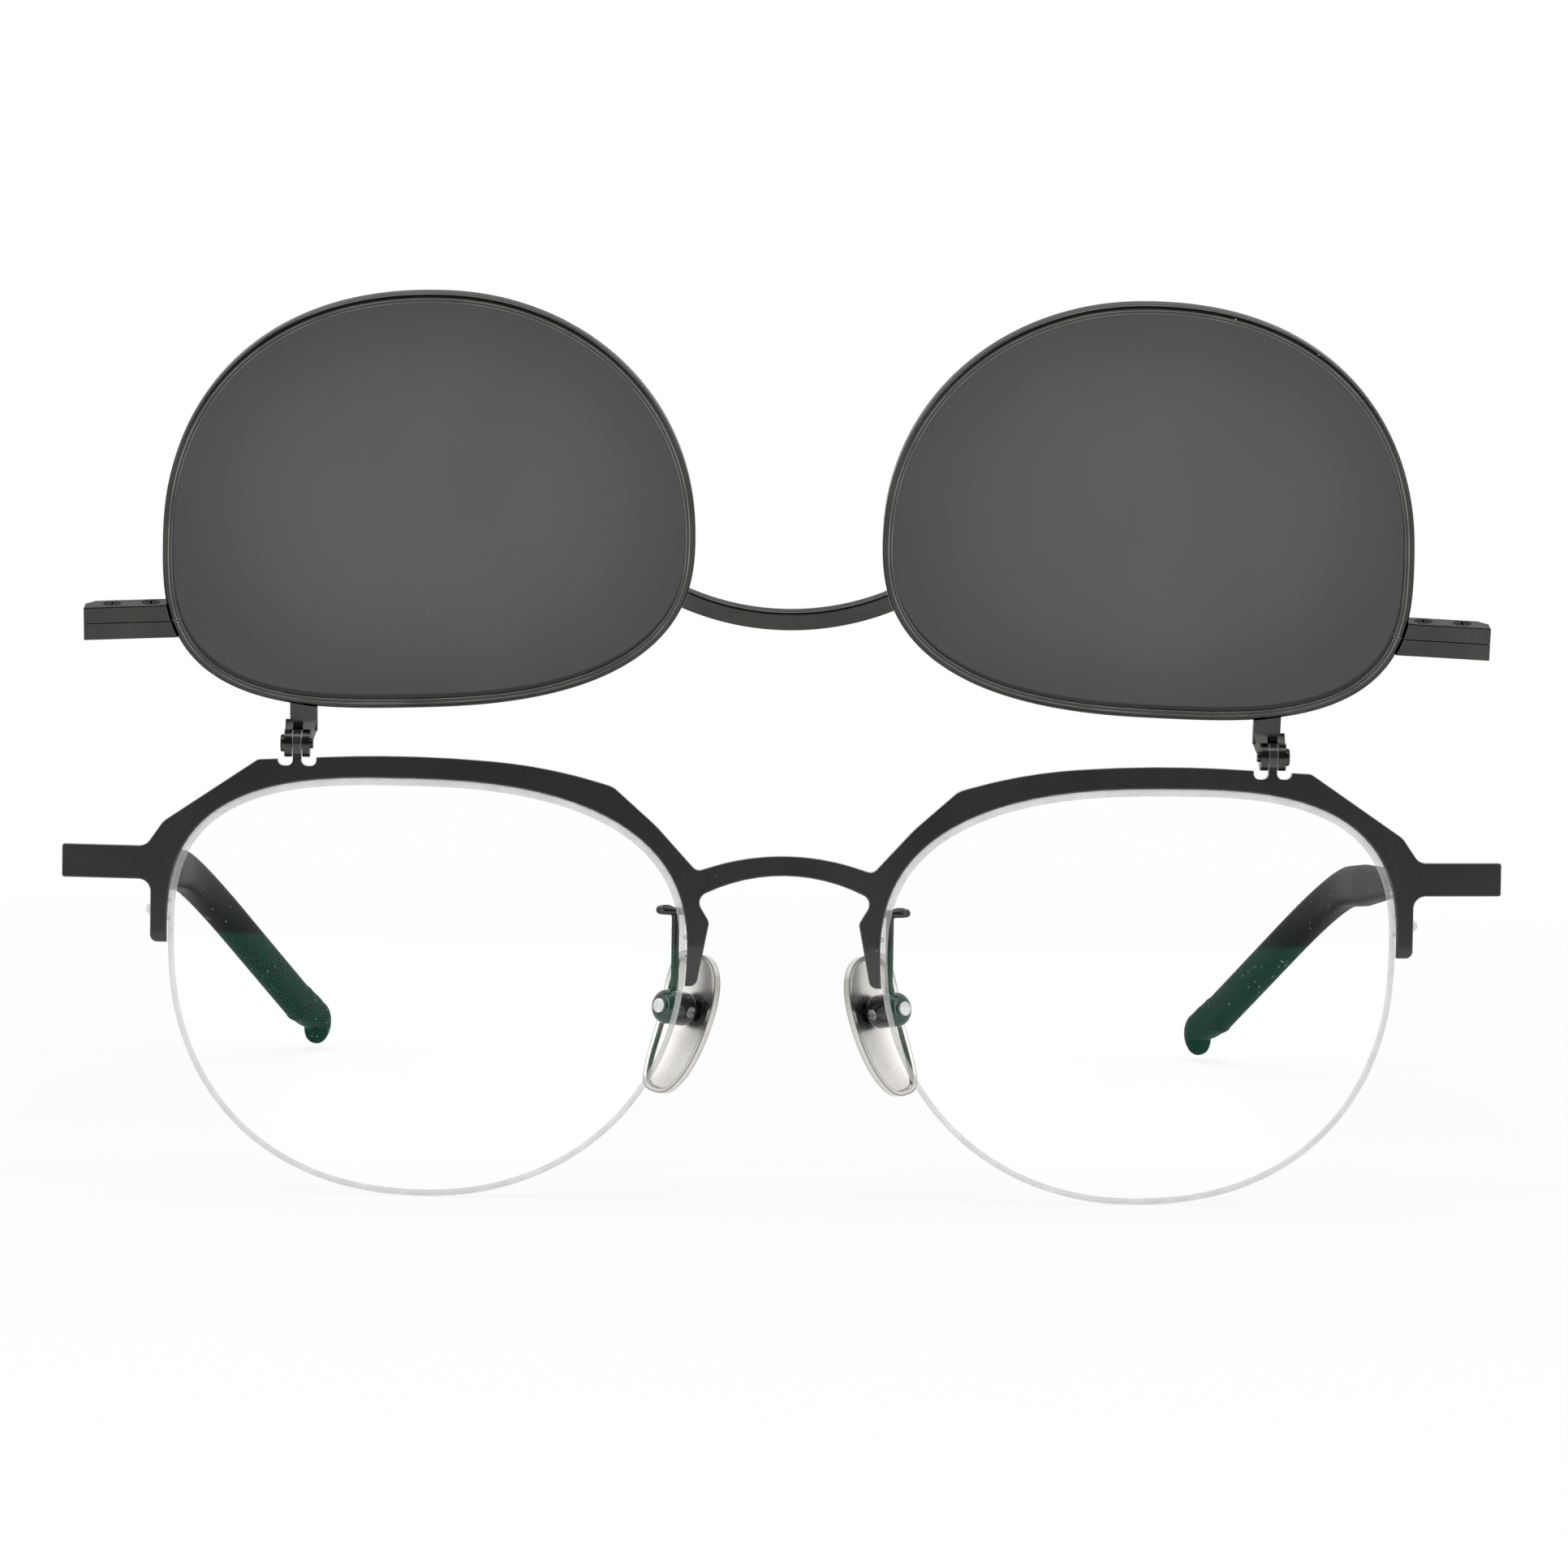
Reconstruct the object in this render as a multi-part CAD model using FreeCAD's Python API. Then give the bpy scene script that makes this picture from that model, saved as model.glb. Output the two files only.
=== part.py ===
"""Flip-up sunglasses: a half-rim optical front, folding temples and a hinged sun front.

X points to the right, Y to the back and Z up, in millimetres. Every piece is drawn with the front upright on
its lenses and the sun front closed. At the end the sun front is turned up to its rest position and everything
is moved onto the origin, which is the middle of the footprint. Right-hand pieces are drawn, left-hand ones
mirrored.
"""
import math
import os

import FreeCAD
import Part
from FreeCAD import Vector

# Wrap: both fronts follow one large sphere
WRAP_RADIUS = 400.0
WRAP_HEIGHT = 20.3

# Lens shape: four quarters of superellipses that meet at the outermost points
BRIDGE_GAP = 19.0
LENS_WIDTH = 50.5
LENS_HEIGHT = 40.6
LENS_CROWN_REACH = 28.0  # from the nasal side to the highest point
LENS_FOOT_REACH = 25.1  # from the nasal side to the lowest point
LENS_TEMPORAL_Z = 25.0
LENS_NASAL_Z = 24.0
UPPER_TEMPORAL_POWER = 2.85
UPPER_NASAL_POWER = 2.53
LOWER_NASAL_POWER = 2.05
LOWER_TEMPORAL_POWER = 2.25
QUARTER_POINTS = 10

LENS_NASAL_X = BRIDGE_GAP / 2
LENS_TEMPORAL_X = LENS_NASAL_X + LENS_WIDTH
LENS_CROWN_X = LENS_NASAL_X + LENS_CROWN_REACH
LENS_FOOT_X = LENS_NASAL_X + LENS_FOOT_REACH

# Clear lens, its groove and the nylon in it
LENS_THICKNESS = 2.0
LENS_CHAMFER = 0.12
LENS_GAP = 0.12  # between the lens and the sheet
GROOVE_WIDTH = 0.54
LENS_GROOVE_DEPTH = 0.6
SHEET_GROOVE_DEPTH = 0.4
NYLON_CLEARANCE = 0.03
CORD_TOP_Z = 27.0  # the cord runs below this height, the liner above it

# Front sheet
SHEET_THICKNESS = 1.0
SHEET_ROUNDING = 0.14
ENDPIECE_TOP_Z = 33.63
ENDPIECE_HEIGHT = 3.26
ENDPIECE_REACH = 10.5  # beyond the lens
ENDPIECE_ROUNDING = 0.25
LUG_WIDTH = 1.62
LUG_BOTTOM_Z = 24.28
LUG_ROUNDING = 0.7
LUG_ROOT_ROUNDING = 1.2
NOSE_LUG_BOTTOM_Z = 21.07
BRIDGE_CREST_RISE = 1.31  # where the lines of the bridge's top meet, above the endpieces
BRIDGE_TOP_RADIUS = 23.0
BRIDGE_ARCH_RISE = 0.22  # where the lines of its underside meet, above them
BRIDGE_UNDER_RADIUS = 17.2

# Corners of the sheet outline: step across, step up and rounding, from the points in sheet_half_corners
VALLEY_STEP = (-0.95, -1.38, 0.8)
BROW_RAMP_STEP = (3.0, -4.05, 10.0)
BROW_INNER_STEP = (7.25, -0.3, 2.0)
BROW_SHOULDER_STEP = (13.5, 1.53, 50.0)
BROW_CREST_STEP = (-1.3, 2.5, 120.0)
BROW_OUTER_STEP = (-8.66, 1.69, 0.8)
BROW_FOOT_STEP = (0.55, 2.44, 2.0)
ENDPIECE_ROOT_STEP = (2.25, 0.0, 1.3)
NOSE_LUG_STEP = (-1.05, 0.0, 0.8)
NOSE_SHOULDER_STEP = (-2.25, 6.25, 0.8)
NOSE_WAIST_STEP = (-0.87, 8.56, 1.0)

# Flip hinge
FLIP_X = 47.5
FLIP_HEIGHT = 43.92
FLIP_OPEN_ANGLE = 166.0
TAB_WIDTH = 0.86
TAB_RADIUS = 1.3
TAB_ROOT = 0.5  # of the tab, in the sheet below the notches
NOTCH_WIDTH = 1.45
NOTCH_FLOOR_Z = 41.75
NOTCH_ROUNDING = 0.6
EAR_THICKNESS = 0.72
EAR_RADIUS = 1.35
EAR_CLEARANCE = 0.08
PIVOT_RADIUS = 0.5
PIVOT_CLEARANCE = 0.05
PIVOT_HEAD_RADIUS = 0.85
PIVOT_HEAD_HEIGHT = 0.4
PIVOT_HEAD_ROUNDING = 0.16
PIVOT_END_LENGTH = 0.3
BRACKET_WIDTH = 2.65
BRACKET_THICKNESS = 0.9
BRACKET_SHIFT = 0.52  # towards the nose
BRACKET_TAB_GAP = 0.2  # between the bracket and the tab
BRACKET_TOP_DROP = 0.7  # below the pivot axis
BRACKET_ARM_WIDTH = 1.4
BRACKET_ROUNDING = 0.35

# Sun front
SUN_GAP = 0.6  # between the closed sun rims and the sheet
RIM_GROW = 0.4  # rim outline beyond the lens outline
RIM_WALL = 0.9
RIM_DEPTH = 2.0
RIM_ROUNDING = 0.38
RIM_LEDGE_WIDTH = 0.32
RIM_LEDGE_DEPTH = 0.16
RIM_GROOVE_DEPTH = 0.45
SUN_LENS_THICKNESS = 1.2
SUN_LENS_CLEARANCE = 0.04
RIM_SPLIT_Z = 31.75
RIM_SPLIT_WIDTH = 0.12
SUN_BRIDGE_Z = 32.27
SUN_BRIDGE_HEIGHT = 1.9
SUN_BRIDGE_DEPTH = 1.5
SUN_BRIDGE_RADIUS = 25.0
SUN_BRIDGE_ROUNDING = 0.3
LOCK_REACH = 7.9  # beyond the lens
LOCK_TOP_Z = 33.4
LOCK_BOTTOM_Z = 30.1
LOCK_DEPTH = 2.3
LOCK_CHAMFER = 0.8
LOCK_ROUNDING = 0.15
LOCK_SCREW_REACH = (1.6, 5.3)  # beyond the lens
LOCK_SCREW_RADIUS = 0.6
LOCK_SCREW_LENGTH = 2.8
LOCK_HEAD_RADIUS = 0.95
LOCK_HEAD_HEIGHT = 0.5
SCREW_CLEARANCE = 0.02
RECESS_LENGTH = 1.1
RECESS_WIDTH = 0.26
RECESS_DEPTH = 0.25

# Nose pads
PAD_STUD_POINT = Vector(8.75, 7.4, 18.0)
PAD_DROP = 1.4  # of the pad's middle below its stud
PAD_SPLAY = 14.0  # lean of the pad's length from the upright
PAD_TURN = 47.0  # turn of the pad's width out of the depth direction
PAD_LENGTH = 14.2
PAD_WIDTH = 6.4
PAD_TAPER = 0.15  # wider at the top and narrower at the bottom, by this share
PAD_POWER = 3.0
PAD_CURVATURE = 22.0
PAD_THICKNESS = 0.4
PAD_RIM_WIDTH = 0.45
PAD_RIM_DEPTH = 0.8
PAD_ROCK_RADIUS = 0.45  # stud radius
PAD_BARREL_RADIUS = 1.7
PAD_BARREL_LENGTH = 3.9
PAD_BARREL_GAP = 0.3
PAD_BARREL_ROUNDING = 0.85
PAD_STUD_HEAD_RADIUS = 0.7
PAD_STUD_HEAD_HEIGHT = 0.35
PAD_SCREW_FROM_PAD = 1.3
PAD_SCREW_LENGTH = 0.5
PAD_SCREW_RADIUS = 0.32
PAD_SCREW_HEAD_RADIUS = 0.55
PAD_SCREW_HEAD_HEIGHT = 0.35
ARM_WIRE_RADIUS = 0.38
ARM_BEND_RADIUS = 0.9
ARM_ROOT = (8.7, 28.1)
ARM_LOOP_X = 12.05
ARM_LOOP_Y = 3.4
ARM_DROP = (10.5, 6.0)

# Temple hinge
HINGE_SET_IN = 6.9  # hinge axis, in from the end of the front
HINGE_Y = 9.8
HINGE_STOP_Y = 8.1
KNUCKLE_RADIUS = 1.25
KNUCKLE_HEIGHT = 0.65
KNUCKLE_CLEARANCE = 0.1
HINGE_TOP_Z = 33.15
HINGE_HEIGHT = 2.6
HINGE_BLOCK_WIDTH = 6.6
HINGE_SCREW_RADIUS = 0.5
HINGE_SCREW_CLEARANCE = 0.05
HINGE_HEAD_RADIUS = 0.8
HINGE_HEAD_HEIGHT = 0.4
LEAF_THICKNESS = 0.5
LEAF_LENGTH = 5.6

# Temples
TEMPLE_OFFSET = 1.5  # inner face of the temple, outward of the hinge axis
TEMPLE_THICKNESS = 1.0
TEMPLE_SLOPE = 5.3
TEMPLE_HEIGHT = 2.8
TEMPLE_REAR_HEIGHT = 2.5
TEMPLE_STOP_GAP = 0.3
TEMPLE_END_ROUNDING = 0.3
TIP_START_Y = 52.0
TIP_FULL_Y = 76.0  # the sleeve swells to its full section here
TIP_BEND_Y = 101.0
TIP_HEEL_STEP = Vector(-13.2, 28.4, -20.42)  # from the bend to the heel
TIP_TOE_STEP = Vector(0.5, 0.7, -3.0)  # from the lifted heel to the toe
TIP_HEEL_LIFT = 0.85  # of the heel, so that the toe narrows from below
TIP_BEND_RADIUS = 40.0
TIP_HEEL_RADIUS = 2.0
TIP_HEIGHT = 4.6
TIP_WIDTH = 3.0
TIP_MOUTH_HEIGHT = 3.1
TIP_MOUTH_WIDTH = 1.8
TIP_TOE_HEIGHT = 2.9
TIP_TOE_WIDTH = 3.4
TIP_POWER = 2.6
TIP_TAPER_LENGTH = 6.0
TIP_ROUNDING = 0.3
TIP_SECTION_POINTS = 16
TOE_SECTIONS = 11
TOE_BLUNTNESS = 0.97
TOE_POWER = 8.0
CORE_HEIGHT = 1.8
CORE_LENGTH = 16.0
CORE_CLEARANCE = 0.02

# Space that holds the whole front, for prisms that the wrap cuts to thickness
PRISM_START = -8.0
PRISM_LENGTH = 30.0
CLOSE = 1e-3  # points nearer than this are the same

X_AXIS = Vector(1, 0, 0)
Y_AXIS = Vector(0, 1, 0)
Z_AXIS = Vector(0, 0, 1)
WRAP_CENTRE = Vector(0, WRAP_RADIUS, WRAP_HEIGHT)


def wrap_depth(x, z, forward=0.0):
    """Y of the wrap surface at x and z, moved forward by the given amount."""
    return WRAP_RADIUS - math.sqrt((WRAP_RADIUS + forward) ** 2 - x ** 2 - (z - WRAP_HEIGHT) ** 2)


def wrapped(prism, front, back):
    """The part of a prism between two depths, both measured forward from the wrap surface."""
    outer = Part.makeSphere(WRAP_RADIUS + front, WRAP_CENTRE)
    inner = Part.makeSphere(WRAP_RADIUS + back, WRAP_CENTRE)
    return prism.common(outer).cut(inner)


def wrapped_edges(shape, forward):
    """Edges of a wrapped piece that lie at one depth."""
    chosen = []
    for edge in shape.Edges:
        middle = edge.valueAt((edge.FirstParameter + edge.LastParameter) / 2)
        if abs(middle.distanceToPoint(WRAP_CENTRE) - WRAP_RADIUS - forward) < CLOSE:
            chosen.append(edge)
    return chosen


def upright_prism(wire):
    """Prism through the whole depth of the front over an outline in the XZ plane."""
    return Part.Face(wire).extrude(Y_AXIS * PRISM_LENGTH).translated(Y_AXIS * PRISM_START)


def box(x0, x1, y0, y1, z0, z1):
    return Part.makeBox(x1 - x0, y1 - y0, z1 - z0, Vector(x0, y0, z0))


def mirrored(shape):
    return shape.mirror(Vector(0, 0, 0), X_AXIS)


def superellipse_point(reach_a, reach_b, power, angle, offset):
    """Point of a superellipse in its own plane, moved out along the normal."""
    cosine = math.cos(angle)
    sine = math.sin(angle)
    a = reach_a * math.copysign(abs(cosine) ** (2 / power), cosine)
    b = reach_b * math.copysign(abs(sine) ** (2 / power), sine)
    normal_a = math.copysign(abs(a / reach_a) ** (power - 1), a) / abs(reach_a)
    normal_b = math.copysign(abs(b / reach_b) ** (power - 1), b) / abs(reach_b)
    length = math.hypot(normal_a, normal_b)
    return a + offset * normal_a / length, b + offset * normal_b / length


def closed_spline(points):
    curve = Part.BSplineCurve()
    curve.interpolate(points, PeriodicFlag=True)
    return Part.Wire([curve.toShape()])


def lens_prism(offset):
    """Prism over the right lens outline, moved outward by offset."""
    quarters = (
        (LENS_CROWN_X, LENS_TEMPORAL_X, LENS_TEMPORAL_Z, LENS_HEIGHT, UPPER_TEMPORAL_POWER),
        (LENS_CROWN_X, LENS_NASAL_X, LENS_NASAL_Z, LENS_HEIGHT, UPPER_NASAL_POWER),
        (LENS_FOOT_X, LENS_NASAL_X, LENS_NASAL_Z, 0.0, LOWER_NASAL_POWER),
        (LENS_FOOT_X, LENS_TEMPORAL_X, LENS_TEMPORAL_Z, 0.0, LOWER_TEMPORAL_POWER),
    )
    points = []
    for index, (centre_x, side_x, side_z, end_z, power) in enumerate(quarters):
        for step in range(QUARTER_POINTS):
            angle = math.pi / 2 * step / QUARTER_POINTS
            if index % 2 == 1:
                angle = math.pi / 2 - angle
            reach_x = abs(side_x - centre_x)
            reach_z = abs(end_z - side_z)
            across, along = superellipse_point(reach_x, reach_z, power, angle, offset)
            x = centre_x + math.copysign(across, side_x - centre_x)
            z = side_z + math.copysign(along, end_z - side_z)
            points.append(Vector(x, 0, z))
    return upright_prism(closed_spline(points))


def lens_band(inside, outside):
    """Prism between two offsets of the lens outline."""
    return lens_prism(outside).cut(lens_prism(inside))


def rounded_edges(corners, closed):
    """Edges along corner points, each corner rounded by its radius."""
    count = len(corners)
    edges = []
    first = None
    last = None
    for index, (corner, radius) in enumerate(corners):
        at_end = not closed and index in (0, count - 1)
        if at_end or radius == 0:
            enter = corner
            leave = corner
            arc = None
        else:
            back = (corners[index - 1][0] - corner).normalize()
            ahead = (corners[(index + 1) % count][0] - corner).normalize()
            half = back.getAngle(ahead) / 2
            reach = radius / math.tan(half)
            enter = corner + back * reach
            leave = corner + ahead * reach
            inward = (back + ahead).normalize()
            middle = corner + inward * (radius / math.sin(half) - radius)
            arc = Part.Arc(enter, middle, leave).toShape()
        if last is not None and last.distanceToPoint(enter) > CLOSE:
            edges.append(Part.makeLine(last, enter))
        if arc is not None:
            edges.append(arc)
        if first is None:
            first = enter
        last = leave
    if closed:
        edges.append(Part.makeLine(last, first))
    return edges


def outline_prism(corners):
    """Prism over a closed outline of (x, z, corner radius)."""
    points = [(Vector(x, 0, z), radius) for x, z, radius in corners]
    return upright_prism(Part.Wire(rounded_edges(points, closed=True)))


def tube(points, bend_radius, radius):
    """Round wire along points with rounded bends."""
    path = Part.Wire(rounded_edges([(point, bend_radius) for point in points], closed=False))
    start = Part.makeCircle(radius, points[0], points[1] - points[0])
    return path.makePipeShell([Part.Wire([start])], True, False)


def cross_recess(centre, axis):
    """Cross-shaped cutter that sinks into a screw head from its top at centre, against the axis."""
    bars = []
    for length, width in ((RECESS_LENGTH, RECESS_WIDTH), (RECESS_WIDTH, RECESS_LENGTH)):
        bars.append(Part.makeBox(length, width, RECESS_DEPTH, Vector(-length / 2, -width / 2, -RECESS_DEPTH)))
    cutter = bars[0].fuse(bars[1])
    cutter.Placement = FreeCAD.Placement(centre, FreeCAD.Rotation(Z_AXIS, axis))
    return cutter


FLIP_Y = wrap_depth(FLIP_X, FLIP_HEIGHT) + SHEET_THICKNESS / 2
FLIP_AXIS_POINT = Vector(0, FLIP_Y, FLIP_HEIGHT)
FRONT_END_X = LENS_TEMPORAL_X + ENDPIECE_REACH
HINGE_X = FRONT_END_X - HINGE_SET_IN
GROOVE_MIDDLE = -SHEET_THICKNESS / 2
SUN_MIDDLE = SUN_GAP + RIM_DEPTH / 2


def corner(x, z, step):
    """Outline corner that is a named step away from x and z."""
    across, up, rounding = step
    return x + across, z + up, rounding


def sheet_half_corners():
    """Right half of the sheet outline, from the top of the bridge round to its underside."""
    side = LENS_TEMPORAL_X
    nose = LENS_NASAL_X
    top = LENS_HEIGHT
    endpiece_bottom = ENDPIECE_TOP_Z - ENDPIECE_HEIGHT
    lug_x = side + LENS_GAP + LUG_WIDTH
    return [
        corner(nose, ENDPIECE_TOP_Z, VALLEY_STEP),
        corner(nose, top, BROW_RAMP_STEP),
        corner(nose, top, BROW_INNER_STEP),
        corner(nose, top, BROW_SHOULDER_STEP),
        corner(LENS_CROWN_X, top, BROW_CREST_STEP),
        corner(side, top, BROW_OUTER_STEP),
        corner(side, ENDPIECE_TOP_Z, BROW_FOOT_STEP),
        corner(side, ENDPIECE_TOP_Z, ENDPIECE_ROOT_STEP),
        (FRONT_END_X, ENDPIECE_TOP_Z, ENDPIECE_ROUNDING),
        (FRONT_END_X, endpiece_bottom, ENDPIECE_ROUNDING),
        (lug_x, endpiece_bottom, LUG_ROOT_ROUNDING),
        (lug_x, LUG_BOTTOM_Z, LUG_ROUNDING),
        (LENS_CROWN_X, LUG_BOTTOM_Z, 0.0),  # from here to the nose lug inside the lens opening
        (LENS_FOOT_X, NOSE_LUG_BOTTOM_Z, 0.0),
        corner(nose, NOSE_LUG_BOTTOM_Z, NOSE_LUG_STEP),
        corner(nose, NOSE_LUG_BOTTOM_Z, NOSE_SHOULDER_STEP),
        corner(nose, NOSE_LUG_BOTTOM_Z, NOSE_WAIST_STEP),
    ]


def make_front_sheet():
    right = sheet_half_corners()
    left = [(-x, z, radius) for x, z, radius in reversed(right)]
    bridge_top = (0.0, ENDPIECE_TOP_Z + BRIDGE_CREST_RISE, BRIDGE_TOP_RADIUS)
    bridge_under = (0.0, ENDPIECE_TOP_Z + BRIDGE_ARCH_RISE, BRIDGE_UNDER_RADIUS)
    blank = outline_prism([bridge_top] + right + [bridge_under] + left).cut(lens_prism(LENS_GAP))
    half = blank.common(box(0, FRONT_END_X, PRISM_START, PRISM_LENGTH, 0.0, FLIP_HEIGHT))
    half = wrapped(half, 0.0, -SHEET_THICKNESS)
    edges = wrapped_edges(half, 0.0) + wrapped_edges(half, -SHEET_THICKNESS)
    half = half.makeFillet(SHEET_ROUNDING, [edge for edge in edges if edge.CenterOfMass.x > CLOSE])
    half = half.cut(wrapped(lens_band(0.0, LENS_GAP + SHEET_GROOVE_DEPTH),
                            GROOVE_MIDDLE + GROOVE_WIDTH / 2, GROOVE_MIDDLE - GROOVE_WIDTH / 2))
    for side in (-1, 1):
        half = half.cut(flip_notch(FLIP_X + side * (TAB_WIDTH + NOTCH_WIDTH) / 2))
    half = half.fuse(flip_tab())
    return half.fuse(mirrored(half)).removeSplitter()


def flip_notch(x):
    """Round-bottomed cutter beside the tab, in the top edge of the sheet."""
    half = NOTCH_WIDTH / 2
    return outline_prism([
        (x - half, NOTCH_FLOOR_Z, NOTCH_ROUNDING),
        (x - half, FLIP_HEIGHT, 0.0),
        (x + half, FLIP_HEIGHT, 0.0),
        (x + half, NOTCH_FLOOR_Z, NOTCH_ROUNDING),
    ])


def flip_tab():
    """Tab that stands on the sheet and carries the flip pivot."""
    start = FLIP_X - TAB_WIDTH / 2
    neck = box(start, start + TAB_WIDTH, FLIP_Y - SHEET_THICKNESS / 2, FLIP_Y + SHEET_THICKNESS / 2,
               NOTCH_FLOOR_Z - TAB_ROOT, FLIP_HEIGHT)
    centre = Vector(start, FLIP_Y, FLIP_HEIGHT)
    disc = Part.makeCylinder(TAB_RADIUS, TAB_WIDTH, centre, X_AXIS)
    bore = Part.makeCylinder(PIVOT_RADIUS + PIVOT_CLEARANCE, TAB_WIDTH, centre, X_AXIS)
    return neck.fuse(disc).cut(bore)


def make_clear_lens():
    lens = wrapped(lens_prism(0.0), 0.0, -LENS_THICKNESS)
    lens = lens.makeChamfer(LENS_CHAMFER, wrapped_edges(lens, 0.0) + wrapped_edges(lens, -LENS_THICKNESS))
    groove = wrapped(lens_band(-LENS_GROOVE_DEPTH, LENS_GAP),
                     GROOVE_MIDDLE + GROOVE_WIDTH / 2, GROOVE_MIDDLE - GROOVE_WIDTH / 2)
    return lens.cut(groove)


def nylon_band(outside):
    """Nylon that fills the lens groove all the way round."""
    half = GROOVE_WIDTH / 2 - NYLON_CLEARANCE
    band = lens_band(NYLON_CLEARANCE - LENS_GROOVE_DEPTH, outside)
    return wrapped(band, GROOVE_MIDDLE + half, GROOVE_MIDDLE - half)


def make_rim_liner():
    band = nylon_band(LENS_GAP + SHEET_GROOVE_DEPTH - NYLON_CLEARANCE)
    below = box(0, FRONT_END_X, PRISM_START, PRISM_LENGTH, -LENS_HEIGHT, CORD_TOP_Z)
    return band.cut(below)


def make_lens_cord():
    band = nylon_band(-NYLON_CLEARANCE)
    above = box(0, FRONT_END_X, PRISM_START, PRISM_LENGTH, CORD_TOP_Z, 2 * LENS_HEIGHT)
    return band.cut(above)


def make_sun_rim():
    """Rim with stepped inner edges and a lens groove, split where the lock blocks hold it together."""
    inner = RIM_GROW - RIM_WALL
    rim = wrapped(lens_band(inner, RIM_GROW), SUN_GAP + RIM_DEPTH, SUN_GAP)
    ledge = lens_band(inner - RIM_WALL, inner + RIM_LEDGE_WIDTH)
    for forward in (SUN_GAP, SUN_GAP + RIM_DEPTH):
        outer_loop = max(wrapped_edges(rim, forward), key=lambda edge: edge.Length)
        rim = rim.makeFillet(RIM_ROUNDING, [outer_loop])
    for forward in (SUN_GAP, SUN_GAP + RIM_DEPTH):
        rim = rim.cut(wrapped(ledge, forward + RIM_LEDGE_DEPTH, forward - RIM_LEDGE_DEPTH))
    half = SUN_LENS_THICKNESS / 2 + SUN_LENS_CLEARANCE
    groove = lens_band(inner - RIM_WALL, inner + RIM_GROOVE_DEPTH)
    groove = wrapped(groove, SUN_MIDDLE + half, SUN_MIDDLE - half)
    split = box(LENS_CROWN_X, FRONT_END_X, PRISM_START, PRISM_LENGTH,
                RIM_SPLIT_Z - RIM_SPLIT_WIDTH / 2, RIM_SPLIT_Z + RIM_SPLIT_WIDTH / 2)
    return rim.cut(groove).cut(split)


def make_sun_lens():
    edge = RIM_GROW - RIM_WALL + RIM_GROOVE_DEPTH - SUN_LENS_CLEARANCE
    return wrapped(lens_prism(edge), SUN_MIDDLE + SUN_LENS_THICKNESS / 2, SUN_MIDDLE - SUN_LENS_THICKNESS / 2)


def make_sun_bridge():
    """Arched bar between the sun rims."""
    centre = Vector(0, PRISM_START, SUN_BRIDGE_Z - SUN_BRIDGE_RADIUS)
    outer = Part.makeCylinder(SUN_BRIDGE_RADIUS + SUN_BRIDGE_HEIGHT / 2, PRISM_LENGTH, centre, Y_AXIS)
    inner = Part.makeCylinder(SUN_BRIDGE_RADIUS - SUN_BRIDGE_HEIGHT / 2, PRISM_LENGTH, centre, Y_AXIS)
    top = centre.z + 2 * SUN_BRIDGE_RADIUS
    bar = outer.cut(inner).common(box(-LENS_FOOT_X, LENS_FOOT_X, PRISM_START, PRISM_LENGTH, centre.z, top))
    bar = wrapped(bar, SUN_MIDDLE + SUN_BRIDGE_DEPTH / 2, SUN_MIDDLE - SUN_BRIDGE_DEPTH / 2)
    bar = bar.makeFillet(SUN_BRIDGE_ROUNDING, [edge for edge in bar.Edges if edge.Length > SUN_BRIDGE_RADIUS])
    rim = lens_prism(RIM_GROW)
    return bar.cut(rim).cut(mirrored(rim))


def lock_screw_x():
    return [LENS_TEMPORAL_X + reach for reach in LOCK_SCREW_REACH]


def lock_screw_y(x):
    return wrap_depth(x, RIM_SPLIT_Z, SUN_MIDDLE)


def make_lock_block(inner, outer):
    """Half of the block that holds the split rim together, from its face at the split to its outer face."""
    bottom = min(inner, outer)
    top = max(inner, outer)
    end = LENS_TEMPORAL_X + LOCK_REACH
    block = box(LENS_CROWN_X, end, PRISM_START, PRISM_LENGTH, bottom, top)
    front = SUN_MIDDLE + LOCK_DEPTH / 2
    block = wrapped(block, front, SUN_MIDDLE - LOCK_DEPTH / 2).cut(lens_prism(RIM_GROW))
    front_y = wrap_depth(end, RIM_SPLIT_Z, front)
    wedge = Part.makePolygon([
        Vector(end - LOCK_CHAMFER, front_y - LOCK_DEPTH, bottom),
        Vector(end - LOCK_CHAMFER, front_y, bottom),
        Vector(end, front_y + LOCK_CHAMFER, bottom),
        Vector(end + LOCK_CHAMFER, front_y + LOCK_CHAMFER, bottom),
        Vector(end + LOCK_CHAMFER, front_y - LOCK_DEPTH, bottom),
        Vector(end - LOCK_CHAMFER, front_y - LOCK_DEPTH, bottom),
    ])
    block = block.cut(Part.Face(wedge).extrude(Z_AXIS * (top - bottom)))
    outer_edges = [edge for edge in block.Edges if abs(edge.CenterOfMass.z - outer) < CLOSE]
    clear_of_rim = [edge for edge in outer_edges if edge.CenterOfMass.x > LENS_TEMPORAL_X + RIM_WALL]
    block = block.makeFillet(LOCK_ROUNDING, clear_of_rim)
    for x in lock_screw_x():
        seat = Vector(x, lock_screw_y(x), LOCK_BOTTOM_Z)
        for radius, length in ((LOCK_SCREW_RADIUS, LOCK_SCREW_LENGTH), (LOCK_HEAD_RADIUS, LOCK_HEAD_HEIGHT)):
            block = block.cut(Part.makeCylinder(radius + SCREW_CLEARANCE, length + SCREW_CLEARANCE, seat))
    return block


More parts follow.
